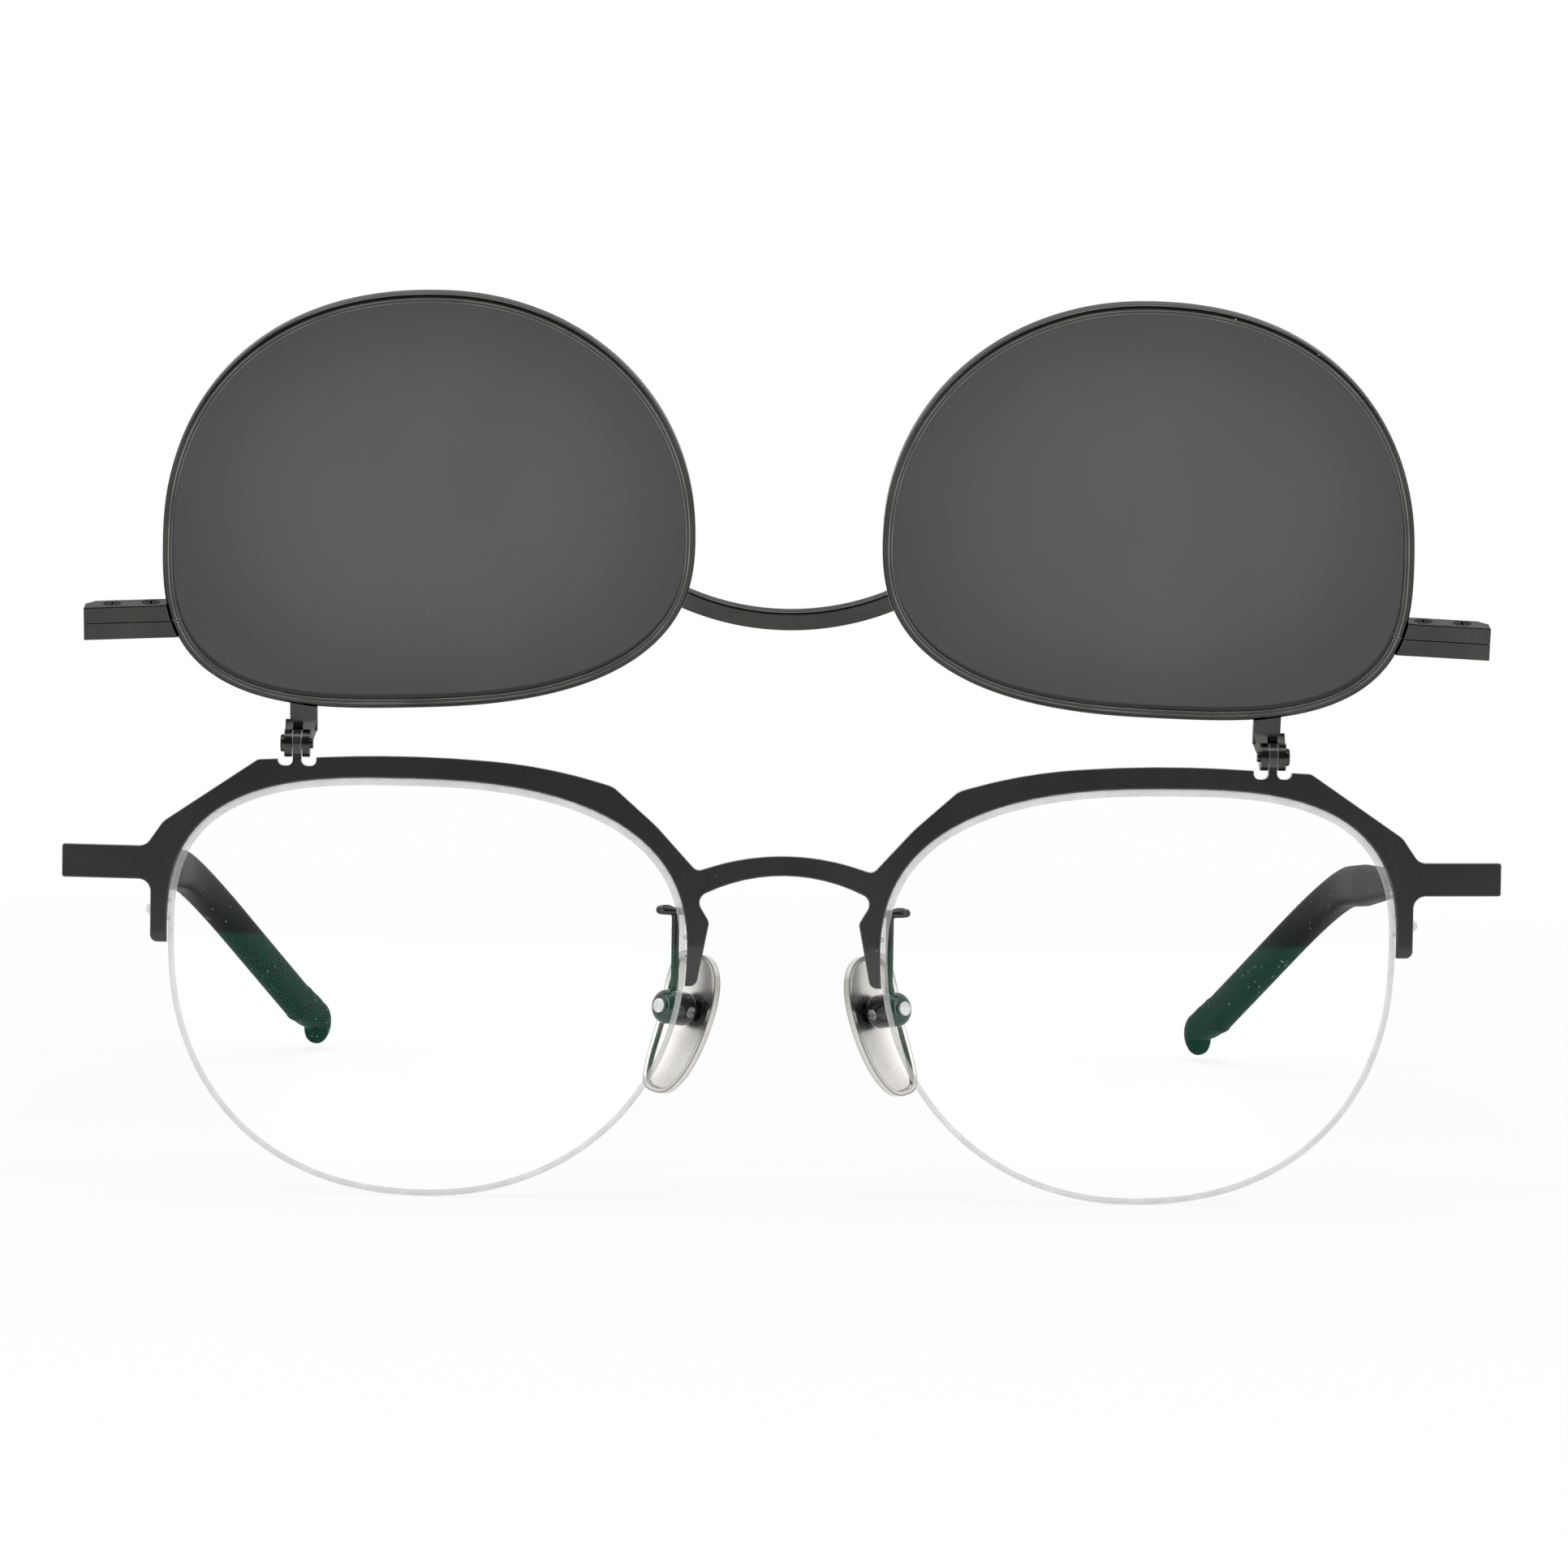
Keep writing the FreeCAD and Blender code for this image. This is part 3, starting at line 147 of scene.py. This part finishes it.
class Graph:
    """A node tree, with the helpers that the finishes share."""

    def __init__(self, tree):
        self.tree = tree
        self.tree.nodes.clear()

    def node(self, kind, settings=None, sockets=None, out=0):
        """A new node's output called out. Its settings are made before its sockets are filled or linked."""
        made = self.tree.nodes.new(kind)
        for name, value in (settings or {}).items():
            setattr(made, name, value)
        for name, value in (sockets or {}).items():
            if isinstance(value, Wire):
                self.tree.links.new(value.socket, made.inputs[name])
            else:
                made.inputs[name].default_value = value
        shown = made.outputs[out] if made.outputs else None
        return Wire(self, shown)

    def millimetres(self):
        """The place on the piece at rest, in millimetres."""
        place = self.node("ShaderNodeTexCoord", out="Object")
        return self.node("ShaderNodeVectorMath", {"operation": "SCALE"}, {0: place, "Scale": 1 / MM})

    def stretched(self, place, stretch):
        return self.node("ShaderNodeVectorMath", {"operation": "MULTIPLY"}, {0: place, 1: stretch})

    def axes(self, place):
        parts = self.node("ShaderNodeSeparateXYZ", None, {0: place})
        return [parts.beside(axis) for axis in "XYZ"]

    def noise(self, place, scale, detail=2.0, roughness=0.5):
        sockets = {"Vector": place, "Scale": scale, "Detail": detail, "Roughness": roughness}
        return self.node("ShaderNodeTexNoise", None, sockets)

    def specks(self, place, scale, size, share):
        """1 on round specks, where scale sets how close they lie and share how many of them show."""
        cells = self.node("ShaderNodeTexVoronoi", None, {"Vector": place, "Scale": scale})
        lot = self.axes(cells.beside("Color"))[0]
        return (cells < size) * (lot < share)

    def between(self, value, low, high, start=0.0, end=1.0):
        """A smooth step from start, where value is low, to end, where it is high."""
        sockets = {"Value": value, "From Min": low, "From Max": high, "To Min": start, "To Max": end}
        return self.node("ShaderNodeMapRange", {"interpolation_type": "SMOOTHSTEP"}, sockets)

    def any_of(self, *masks):
        """1 where at least one of the masks is 1."""
        return self.between(sum(masks[1:], masks[0]), 0.0, 1.0)

    def mixed(self, share, first, second):
        """The colour first where share is 0 and second where it is 1."""
        sockets = {"Factor": share, MIX_FIRST: colour(first), MIX_SECOND: colour(second)}
        return self.node("ShaderNodeMix", {"data_type": "RGBA"}, sockets, out=MIX_RESULT)

    def rounded(self, width):
        """The normal of a surface whose sharp edges are rounded over width in metres."""
        return self.node("ShaderNodeBevel", {"samples": BEVEL_SAMPLES}, {"Radius": width})

    def edges(self, width):
        """1 on sharp edges, fading over width in metres."""
        flat = self.node("ShaderNodeNewGeometry", out="Normal")
        dot = {"operation": "DOT_PRODUCT"}
        along = self.node("ShaderNodeVectorMath", dot, {0: self.rounded(width), 1: flat}, out="Value")
        return self.between(along, EDGE_START, EDGE_FULL)

    def bump(self, height, depth):
        """The normal of a surface that rises by depth, in metres, where height goes from 0 to 1."""
        return self.node("ShaderNodeBump", None, {"Height": height, "Distance": depth, "Strength": 1.0})

    def principled(self, sockets):
        return self.node("ShaderNodeBsdfPrincipled", None, sockets)

    def surface(self, shader):
        self.node("ShaderNodeOutputMaterial", None, {"Surface": shader})


def colour(value):
    return value if isinstance(value, Wire) else (*value, 1.0)


def new_finish(name):
    material = bpy.data.materials.new(name)
    material.use_nodes = True
    return material, Graph(material.node_tree)


def satin_black(name, painted_side_highlight):
    """Black electro-coat, faintly grained and worn where edges rub.

    Edges that face sideways carry a painted highlight of pale grey, as strong as the second argument: it
    stands in for the white room they mirror edge-on.
    """
    thin_paint = (0.0225, 0.0225, 0.0218)
    thick_paint = (0.0290, 0.0290, 0.0280)
    rubbed_paint = (0.16, 0.16, 0.155)
    # pale grey of the painted highlight on edges that face sideways
    painted_side_highlight_grey = (0.62, 0.62, 0.60)
    dust_grey = (0.42, 0.42, 0.41)
    side_width = 0.14 * MM
    rub_width = 0.08 * MM

    material, g = new_finish(name)
    place = g.millimetres()
    cloud = g.noise(place, scale=0.12, detail=3.0)
    grain = g.noise(place, scale=7.0, roughness=0.6)
    dust = g.specks(place, scale=0.45, size=0.035, share=0.25)
    sideways = abs(g.axes(g.rounded(side_width))[0])
    # painted highlight: edges that face sideways are painted pale grey
    painted_side_highlight_mask = g.edges(side_width) * g.between(sideways, 0.15, 0.4) * painted_side_highlight
    rubbed = g.edges(rub_width) * g.between(g.noise(place, scale=0.9), 0.25, 0.6)
    paint = g.mixed(g.between(cloud, 0.3, 0.7), thin_paint, thick_paint)
    # paint with its rubbed edges, and the painted highlight over it
    wear_and_painted_highlight = g.mixed(painted_side_highlight_mask, g.mixed(rubbed * 0.45, paint, rubbed_paint), painted_side_highlight_grey)
    g.surface(g.principled({
        "Base Color": g.mixed(dust * 0.8, wear_and_painted_highlight, dust_grey),
        "Roughness": 0.20 + 0.12 * grain - 0.08 * rubbed,
        "Coat Weight": 0.5 + 0.2 * cloud,
        "Normal": g.bump(grain, 0.003 * MM),
    }))
    return material


def gloss_black():
    """Dipped black on the pad barrels: smooth and wet-looking."""
    dip = (0.011, 0.012, 0.0115)
    dust_grey = (0.35, 0.35, 0.34)

    material, g = new_finish("gloss_black")
    place = g.millimetres()
    flow = g.noise(place, scale=0.8)
    dust = g.specks(place, scale=1.1, size=0.06, share=0.2)
    g.surface(g.principled({
        "Base Color": g.mixed(dust * 0.7, dip, dust_grey),
        "Roughness": 0.09 + 0.07 * flow + 0.3 * dust,
        "Coat Weight": 0.25 + 0.2 * flow,
        "Normal": g.bump(flow, 0.012 * MM),
    }))
    return material


def gunmetal(name, painted_edge_highlight, glance):
    """Dark bright plating, brushed along x, with a painted highlight along its edges: paler and less
    metallic there, as strong as the second argument.

    Glance is how much it mirrors when it is seen from the side.
    """
    dark_plate = (0.058, 0.057, 0.0535)
    pale_plate = (0.072, 0.0705, 0.066)
    painted_edge_highlight_grey = (0.62, 0.61, 0.585)
    dust_grey = (0.6, 0.6, 0.59)
    brushing = (0.35, 6.0, 6.0)
    edge_width = 0.13 * MM

    material, g = new_finish(name)
    place = g.millimetres()
    cloud = g.noise(place, scale=0.2, detail=3.0)
    hairs = g.noise(g.stretched(place, brushing), scale=2.0, detail=3.0, roughness=0.65)
    dust = g.specks(place, scale=0.5, size=0.04, share=0.2)
    patchy = g.between(g.noise(place, scale=0.25), 0.35, 0.6, start=0.5, end=1.0)
    edge = g.edges(edge_width) * patchy
    plate = g.mixed(g.between(cloud, 0.3, 0.7), dark_plate, pale_plate)
    # painted highlight: patches along the edges are painted pale grey, and the metallic below drops there
    # too
    plate_with_painted_highlights = g.mixed(edge * painted_edge_highlight, plate, painted_edge_highlight_grey)
    g.surface(g.principled({
        "Base Color": g.mixed(dust * 0.8, plate_with_painted_highlights, dust_grey),
        "Metallic": 1.0 - dust - 0.7 * painted_edge_highlight * edge,
        "Specular Tint": (glance, glance, glance, 1.0),
        "Roughness": 0.15 + 0.12 * g.between(hairs, 0.35, 0.7) + 0.05 * cloud,
        "Normal": g.bump(hairs, 0.0012 * MM),
    }))
    return material


def sun_glass():
    """Grey tinted lens. Either face passes about a quarter of the light, the middle a little more."""
    tint = (0.020, 0.020, 0.0215)
    dust_grey = (0.22, 0.22, 0.22)
    wiping = (1.0, 1.0, 0.5)

    material, g = new_finish("sun_glass")
    place = g.millimetres()
    low, high = [Vector(corner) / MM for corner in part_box("right_sun_lens")]
    middle = (low + high) / 2
    half = (high - low) / 2
    x, _, z = g.axes(place)
    across = (abs(x) - middle.x) / half.x
    upward = (z - middle.z) / half.z
    outward = across * across + upward * upward
    smear = g.noise(g.stretched(place, wiping), scale=0.08, detail=3.0)
    dust = g.specks(place, scale=0.4, size=0.03, share=0.12)
    g.surface(g.principled({
        "Base Color": g.mixed(dust * 0.6, tint, dust_grey),
        "Roughness": 0.03 + 0.05 * g.between(smear, 0.45, 0.75),
        "Alpha": 0.748 + 0.075 * g.between(outward, 0.05, 1.1) - 0.012 * g.between(smear, 0.3, 0.7),
    }))
    return material


def clear_glass():
    """Clear lens whose edge walls are painted a pale, rough grey: painted light standing in for the light
    that glass edges bend and mirror from the white room.

    The coating on its faces mirrors very little, and that little is green.
    """
    green = (0.03, 0.95, 0.52)
    silver = (0.9, 0.9, 0.9)
    # pale grey painted on the edge walls in place of the light they bend from the white room
    painted_edge_light = (0.80, 0.80, 0.785)
    # painted light: above 1, so what is seen through the lens comes out a little brighter than it is
    brightened_see_through = (1.022, 1.013, 1.017, 1.0)
    face_cosine = 0.9  # faces turn towards y by more than this, edges by less
    uncoated_width = 0.5 * MM
    head_on = 0.018  # what a coated face mirrors straight on

    material, g = new_finish("clear_glass")
    place = g.millimetres()
    edge = abs(g.axes(g.node("ShaderNodeTexCoord", out="Normal"))[1]) < face_cosine
    coated = (1 - edge) * (1 - g.edges(uncoated_width))
    dust = g.specks(place, scale=0.8, size=0.03, share=0.12)
    smear = g.noise(place, scale=0.15, detail=3.0)
    edge_light_mottle = g.noise(place, scale=0.5, detail=3.0)
    glancing = g.node("ShaderNodeLayerWeight", out="Facing")
    mirror = head_on + (1 - head_on) * glancing ** 5
    coat = g.mixed(g.between(glancing, 0.15, 0.55) + dust, green, silver)
    # painted light: the edge walls take the pale grey over the see-through part
    gloss = g.principled({
        "Base Color": g.mixed(edge, coat, painted_edge_light),
        "Metallic": 1 - edge,
        "Roughness": 0.02 + 0.05 * g.between(smear, 0.5, 0.8) + edge * (0.38 + 0.05 * edge_light_mottle),
    })
    clear = g.node("ShaderNodeBsdfTransparent", None, {"Color": brightened_see_through})
    share = coated * (mirror + 0.5 * dust) + edge * (0.235 + 0.04 * edge_light_mottle)
    g.surface(g.node("ShaderNodeMixShader", None, {0: share, 1: clear, 2: gloss}))
    return material


def nylon():
    """Clear nylon line, milky in places."""
    grey_milk = (0.72, 0.72, 0.705)
    pale_milk = (0.84, 0.84, 0.825)

    material, g = new_finish("nylon")
    place = g.millimetres()
    milk = g.noise(place, scale=0.5, detail=3.0)
    drawn = g.noise(place, scale=3.0)
    g.surface(g.principled({
        "Base Color": g.mixed(milk, grey_milk, pale_milk),
        "Roughness": 0.22 + 0.1 * milk,
        "Alpha": 0.30 + 0.14 * g.between(milk, 0.3, 0.7),
        "Normal": g.bump(drawn, 0.006 * MM),
    }))
    return material


def pad_titanium():
    """Titanium of the nose pads: silky, drawn along the pad, with dark brown edges on its rim."""
    clean_metal = (0.71, 0.695, 0.665)
    stained_metal = (0.65, 0.635, 0.605)
    brown = (0.075, 0.056, 0.042)
    drawing = (5.0, 5.0, 0.7)
    rim_width = 0.32 * MM

    material, g = new_finish("pad_titanium")
    place = g.millimetres()
    drawn = g.noise(g.stretched(place, drawing), scale=1.6, detail=3.0, roughness=0.6)
    stain = g.noise(place, scale=0.5, detail=3.0)
    rim = g.edges(rim_width)
    metal = g.mixed(g.between(stain, 0.35, 0.7), clean_metal, stained_metal)
    g.surface(g.principled({
        "Base Color": g.mixed(rim * 0.9, metal, brown),
        "Metallic": 1.0 - 0.5 * rim,
        "Roughness": 0.20 + 0.12 * drawn,
        "Normal": g.bump(drawn, 0.002 * MM),
    }))
    return material


def turned_steel():
    """Bright steel of the screws and studs, with fine marks and a dull smudge here and there."""
    bright_steel = (0.78, 0.78, 0.765)
    dull_steel = (0.55, 0.55, 0.54)

    material, g = new_finish("turned_steel")
    place = g.millimetres()
    marks = g.noise(place, scale=5.0, detail=3.0, roughness=0.7)
    smudge = g.noise(place, scale=1.2)
    g.surface(g.principled({
        "Base Color": g.mixed(g.between(smudge, 0.35, 0.7), bright_steel, dull_steel),
        "Metallic": 0.75 + 0.1 * smudge,
        "Roughness": 0.18 + 0.16 * marks,
        "Normal": g.bump(marks, 0.002 * MM),
    }))
    return material


def tip_plastic():
    """Black plastic of the temple tips: satin, with specks of white dust and lint."""
    deep_black = (0.0105, 0.0105, 0.011)
    soft_black = (0.0155, 0.0155, 0.016)
    lint_grey = (0.45, 0.46, 0.45)
    lint_stretch = (1.0, 1.0, 0.16)

    material, g = new_finish("tip_plastic")
    place = g.millimetres()
    cloud = g.noise(place, scale=0.15, detail=3.0)
    grain = g.noise(place, scale=3.0, detail=3.0, roughness=0.6)
    patchy = g.between(g.noise(place, scale=0.12), 0.35, 0.6)
    dust = g.specks(place, scale=1.6, size=0.17, share=0.35) * patchy
    lint = g.specks(g.stretched(place, lint_stretch), scale=0.35, size=0.05, share=0.25)
    mark = g.any_of(dust, lint)
    black = g.mixed(cloud, deep_black, soft_black)
    g.surface(g.principled({
        "Base Color": g.mixed(mark * 0.75, black, lint_grey),
        "Specular IOR Level": 0.02,
        "Roughness": 0.34 + 0.14 * grain + 0.2 * mark,
        "Normal": g.bump(grain, 0.004 * MM),
    }))
    return material


def make_finishes():
    """The finish of every CAD piece, by what it is called without its side."""
    black = satin_black("satin_black", painted_side_highlight=0.0)
    # gunmetal with a strong painted highlight along its edges; the lock finish below has a faint one
    plate_with_painted_highlights = gunmetal("gunmetal", painted_edge_highlight=0.8, glance=0.6)
    plain = gunmetal("lock_gunmetal", painted_edge_highlight=0.1, glance=0.65)
    line = nylon()
    steel = turned_steel()
    return {
        # the sheet's sideways edges get a painted highlight
        "front_sheet": satin_black("sheet_black", painted_side_highlight=0.75),
        "hinge_block": black,
        "temple_leaf": black,
        "temple_arm": black,
        "pad_arm": plate_with_painted_highlights,
        "pad_barrel": gloss_black(),
        "sun_rim": plate_with_painted_highlights,
        "sun_bridge": plate_with_painted_highlights,
        "lock_block_upper": plain,
        "lock_block_lower": plain,
        "flip_bracket": plain,
        "sun_lens": sun_glass(),
        "clear_lens": clear_glass(),
        "rim_liner": line,
        "lens_cord": line,
        "nose_pad": pad_titanium(),
        "temple_tip": tip_plastic(),
        "pad_screw": steel,
        "pad_stud": steel,
        "hinge_screw": steel,
        "lock_screws": gunmetal("screw_gunmetal", painted_edge_highlight=0.5, glance=0.4),
        "flip_screw": plain,
    }


def dress_pieces():
    for name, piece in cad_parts.items():
        kind = name.removeprefix("right_").removeprefix("left_")
        piece.data.materials.clear()
        piece.data.materials.append(finishes[kind])


def spline_points(corners):
    """Points along the smooth spline that has the corners as its control points."""
    curve = bpy.data.curves.new("cord_route", "CURVE")
    curve.dimensions = "3D"
    curve.resolution_u = SPLINE_STEPS
    spline = curve.splines.new("NURBS")
    spline.points.add(len(corners) - 1)
    for point, corner in zip(spline.points, corners):
        point.co = (*corner, 1.0)
    spline.order_u = SPLINE_ORDER
    spline.use_endpoint_u = True
    holder = bpy.data.objects.new("cord_route", curve)
    mesh = bpy.data.meshes.new_from_object(holder)
    points = [vertex.co.copy() for vertex in mesh.vertices]
    bpy.data.objects.remove(holder)
    bpy.data.curves.remove(curve)
    bpy.data.meshes.remove(mesh)
    return points


def make_tube(name, path, radii, beside, finish):
    """Closed round tube on the front, along a path that is never parallel to beside."""
    vertices = []
    faces = []
    last = len(path) - 1
    for index, (point, radius) in enumerate(zip(path, radii)):
        along = (path[min(index + 1, last)] - path[max(index - 1, 0)]).normalized()
        other = along.cross(beside).normalized()
        flat = other.cross(along)
        for turn in range(TUBE_SIDES):
            angle = 2 * math.pi * turn / TUBE_SIDES
            vertices.append(point + (flat * math.cos(angle) + other * math.sin(angle)) * radius)
    for ring in range(last):
        for turn in range(TUBE_SIDES):
            here = ring * TUBE_SIDES + turn
            beyond = ring * TUBE_SIDES + (turn + 1) % TUBE_SIDES
            faces.append((here, beyond, beyond + TUBE_SIDES, here + TUBE_SIDES))
    faces.append(tuple(reversed(range(TUBE_SIDES))))
    faces.append(tuple(range(last * TUBE_SIDES, (last + 1) * TUBE_SIDES)))
    mesh = bpy.data.meshes.new(name)
    mesh.from_pydata(vertices, [], faces)
    mesh.shade_smooth()
    mesh.materials.append(finish)
    piece = bpy.data.objects.new(name, mesh)
    bpy.context.scene.collection.objects.link(piece)
    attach(piece, "front")
    return piece


def mirrored(points):
    return [Vector((-point.x, point.y, point.z)) for point in points]


def thread_cords():
    """Loops of the nylon cord through the lugs at either side of each lens."""
    lens_low, lens_high = [Vector(corner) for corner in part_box("right_clear_lens")]
    cord_low, cord_high = [Vector(corner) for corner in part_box("right_lens_cord")]
    starts = {
        # name: (edge of the lens, way out from it, depth)
        "temple_cord_loop": (lens_high.x, 1, cord_high.y - CORD_HALF_WIDTH),
        "nose_cord_loop": (lens_low.x, -1, cord_low.y + CORD_HALF_WIDTH),
    }
    for name, (reach, height, spread) in LUG_LOOPS.items():
        edge, outward, depth = starts[name]
        bend = [(along * reach, apart * spread) for along, apart in LOOP_BEND]
        out = [(-CORD_RADIUS, spread), *bend]
        back = [(along, -apart) for along, apart in reversed(out[:-1])]
        corners = [Vector((edge + outward * along, depth, height - apart)) for along, apart in out + back]
        path = spline_points(corners)
        radii = [CORD_RADIUS] * len(path)
        for side, points in (("right_", path), ("left_", mirrored(path))):
            loop = make_tube(side + name, points, radii, Vector((0, 1, 0)), finishes["lens_cord"])


def bead_pad_arms():
    """Solder beads round the feet of the pad wires, on the back of the sheet."""
    low, high = [Vector(corner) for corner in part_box("right_pad_arm")]
    foot = Vector((low.x + ARM_WIRE_RADIUS, low.y, high.z - ARM_WIRE_RADIUS))
    path = [foot + Vector((0, rise * MM, 0)) for rise, radius in BEAD_RINGS]
    radii = [radius * MM for rise, radius in BEAD_RINGS]
    black = finishes["front_sheet"]
    for side, points in (("right_", path), ("left_", mirrored(path))):
        bead = make_tube(side + "pad_arm_bead", points, radii, Vector((1, 0, 0)), black)


def shown_rays(g):
    """1 for rays that show the background: from the camera, in a mirror or through glass."""
    path = g.node("ShaderNodeLightPath")
    kinds = ("Is Camera Ray", "Is Glossy Ray", "Is Transmission Ray")
    return g.any_of(*[path.beside(kind) for kind in kinds])


def sweep_paper():
    """Paper that shows white and takes a share of the shadow near the object."""
    material, g = new_finish("sweep_paper")
    paper = g.node("ShaderNodeBsdfDiffuse", None, {"Color": PAPER})
    glow = g.node("ShaderNodeEmission", None, {"Color": WHITE, "Strength": PAPER_LIFT})
    lit = g.node("ShaderNodeAddShader", None, {0: paper, 1: glow})
    white = g.node("ShaderNodeEmission", None, {"Color": WHITE, "Strength": 1.0})
    place = g.node("ShaderNodeTexCoord", out="Object")
    away = g.node("ShaderNodeVectorMath", {"operation": "LENGTH"}, {0: place}, out="Value")
    shaded = g.between(away, SHADOW_REACH, SHADOW_FULL) * SHADOW_SHARE
    seen = g.node("ShaderNodeMixShader", None, {0: shaded, 1: white, 2: lit})
    g.surface(g.node("ShaderNodeMixShader", None, {0: shown_rays(g), 1: paper, 2: seen}))
    return material


def lay_sweep():
    """White paper under and behind the object."""
    corners = [
        (-SWEEP_HALF_WIDTH, SWEEP_FRONT, -SWEEP_DROP),
        (SWEEP_HALF_WIDTH, SWEEP_FRONT, -SWEEP_DROP),
        (SWEEP_HALF_WIDTH, SWEEP_BACK, -SWEEP_DROP),
        (-SWEEP_HALF_WIDTH, SWEEP_BACK, -SWEEP_DROP),
    ]
    mesh = bpy.data.meshes.new("sweep")
    mesh.from_pydata(corners, [], [(0, 1, 2, 3)])
    mesh.materials.append(sweep_paper())
    sweep = bpy.data.objects.new("sweep", mesh)
    bpy.context.scene.collection.objects.link(sweep)


def light_room():
    """White all round for the eye, dim behind the camera for reflections, and even soft light."""
    world = bpy.data.worlds.new("room")
    bpy.context.scene.world = world
    world.use_nodes = True
    g = Graph(world.node_tree)
    path = g.node("ShaderNodeLightPath")
    mirror = path.beside("Is Glossy Ray")
    eye = g.any_of(path.beside("Is Camera Ray"), path.beside("Is Transmission Ray"))
    away = g.axes(g.node("ShaderNodeTexCoord", out="Generated"))[1]
    room = g.between(away, ROOM_DIM, ROOM_LIT, ROOM_BEHIND_CAMERA, 1.0)
    level = eye + (1 - eye) * (mirror * room + (1 - mirror) * AMBIENT)
    lit = g.node("ShaderNodeBackground", None, {"Color": WHITE, "Strength": level})
    g.node("ShaderNodeOutputWorld", None, {"Surface": lit})


def hang_soft_boxes():
    for name, (place, width, height, watts) in SOFT_BOXES.items():
        lamp = bpy.data.lights.new(name, "AREA")
        lamp.shape = "RECTANGLE"
        lamp.size = width
        lamp.size_y = height
        lamp.energy = watts
        box = bpy.data.objects.new(name, lamp)
        box.location = place
        box.rotation_mode = "QUATERNION"
        box.rotation_quaternion = (BOX_AIM - Vector(place)).to_track_quat("-Z", "Y")
        bpy.context.scene.collection.objects.link(box)


def set_camera():
    data = bpy.data.cameras.new("camera")
    data.sensor_width = SENSOR_WIDTH
    data.lens = CAMERA_LENGTH
    data.clip_start = CAMERA_NEAR
    camera = bpy.data.objects.new("camera", data)
    turn = (CAMERA_AIM - CAMERA_PLACE).to_track_quat("-Z", "Y").to_matrix().to_4x4()
    camera.matrix_world = Matrix.Translation(CAMERA_PLACE) @ turn @ Matrix.Rotation(ROLL, 4, "Z")
    bpy.context.scene.collection.objects.link(camera)
    bpy.context.scene.camera = camera


bpy.context.scene.view_settings.view_transform = "Standard"
set_camera()
finishes = make_finishes()
dress_pieces()
thread_cords()
bead_pad_arms()
lay_sweep()
light_room()
hang_soft_boxes()
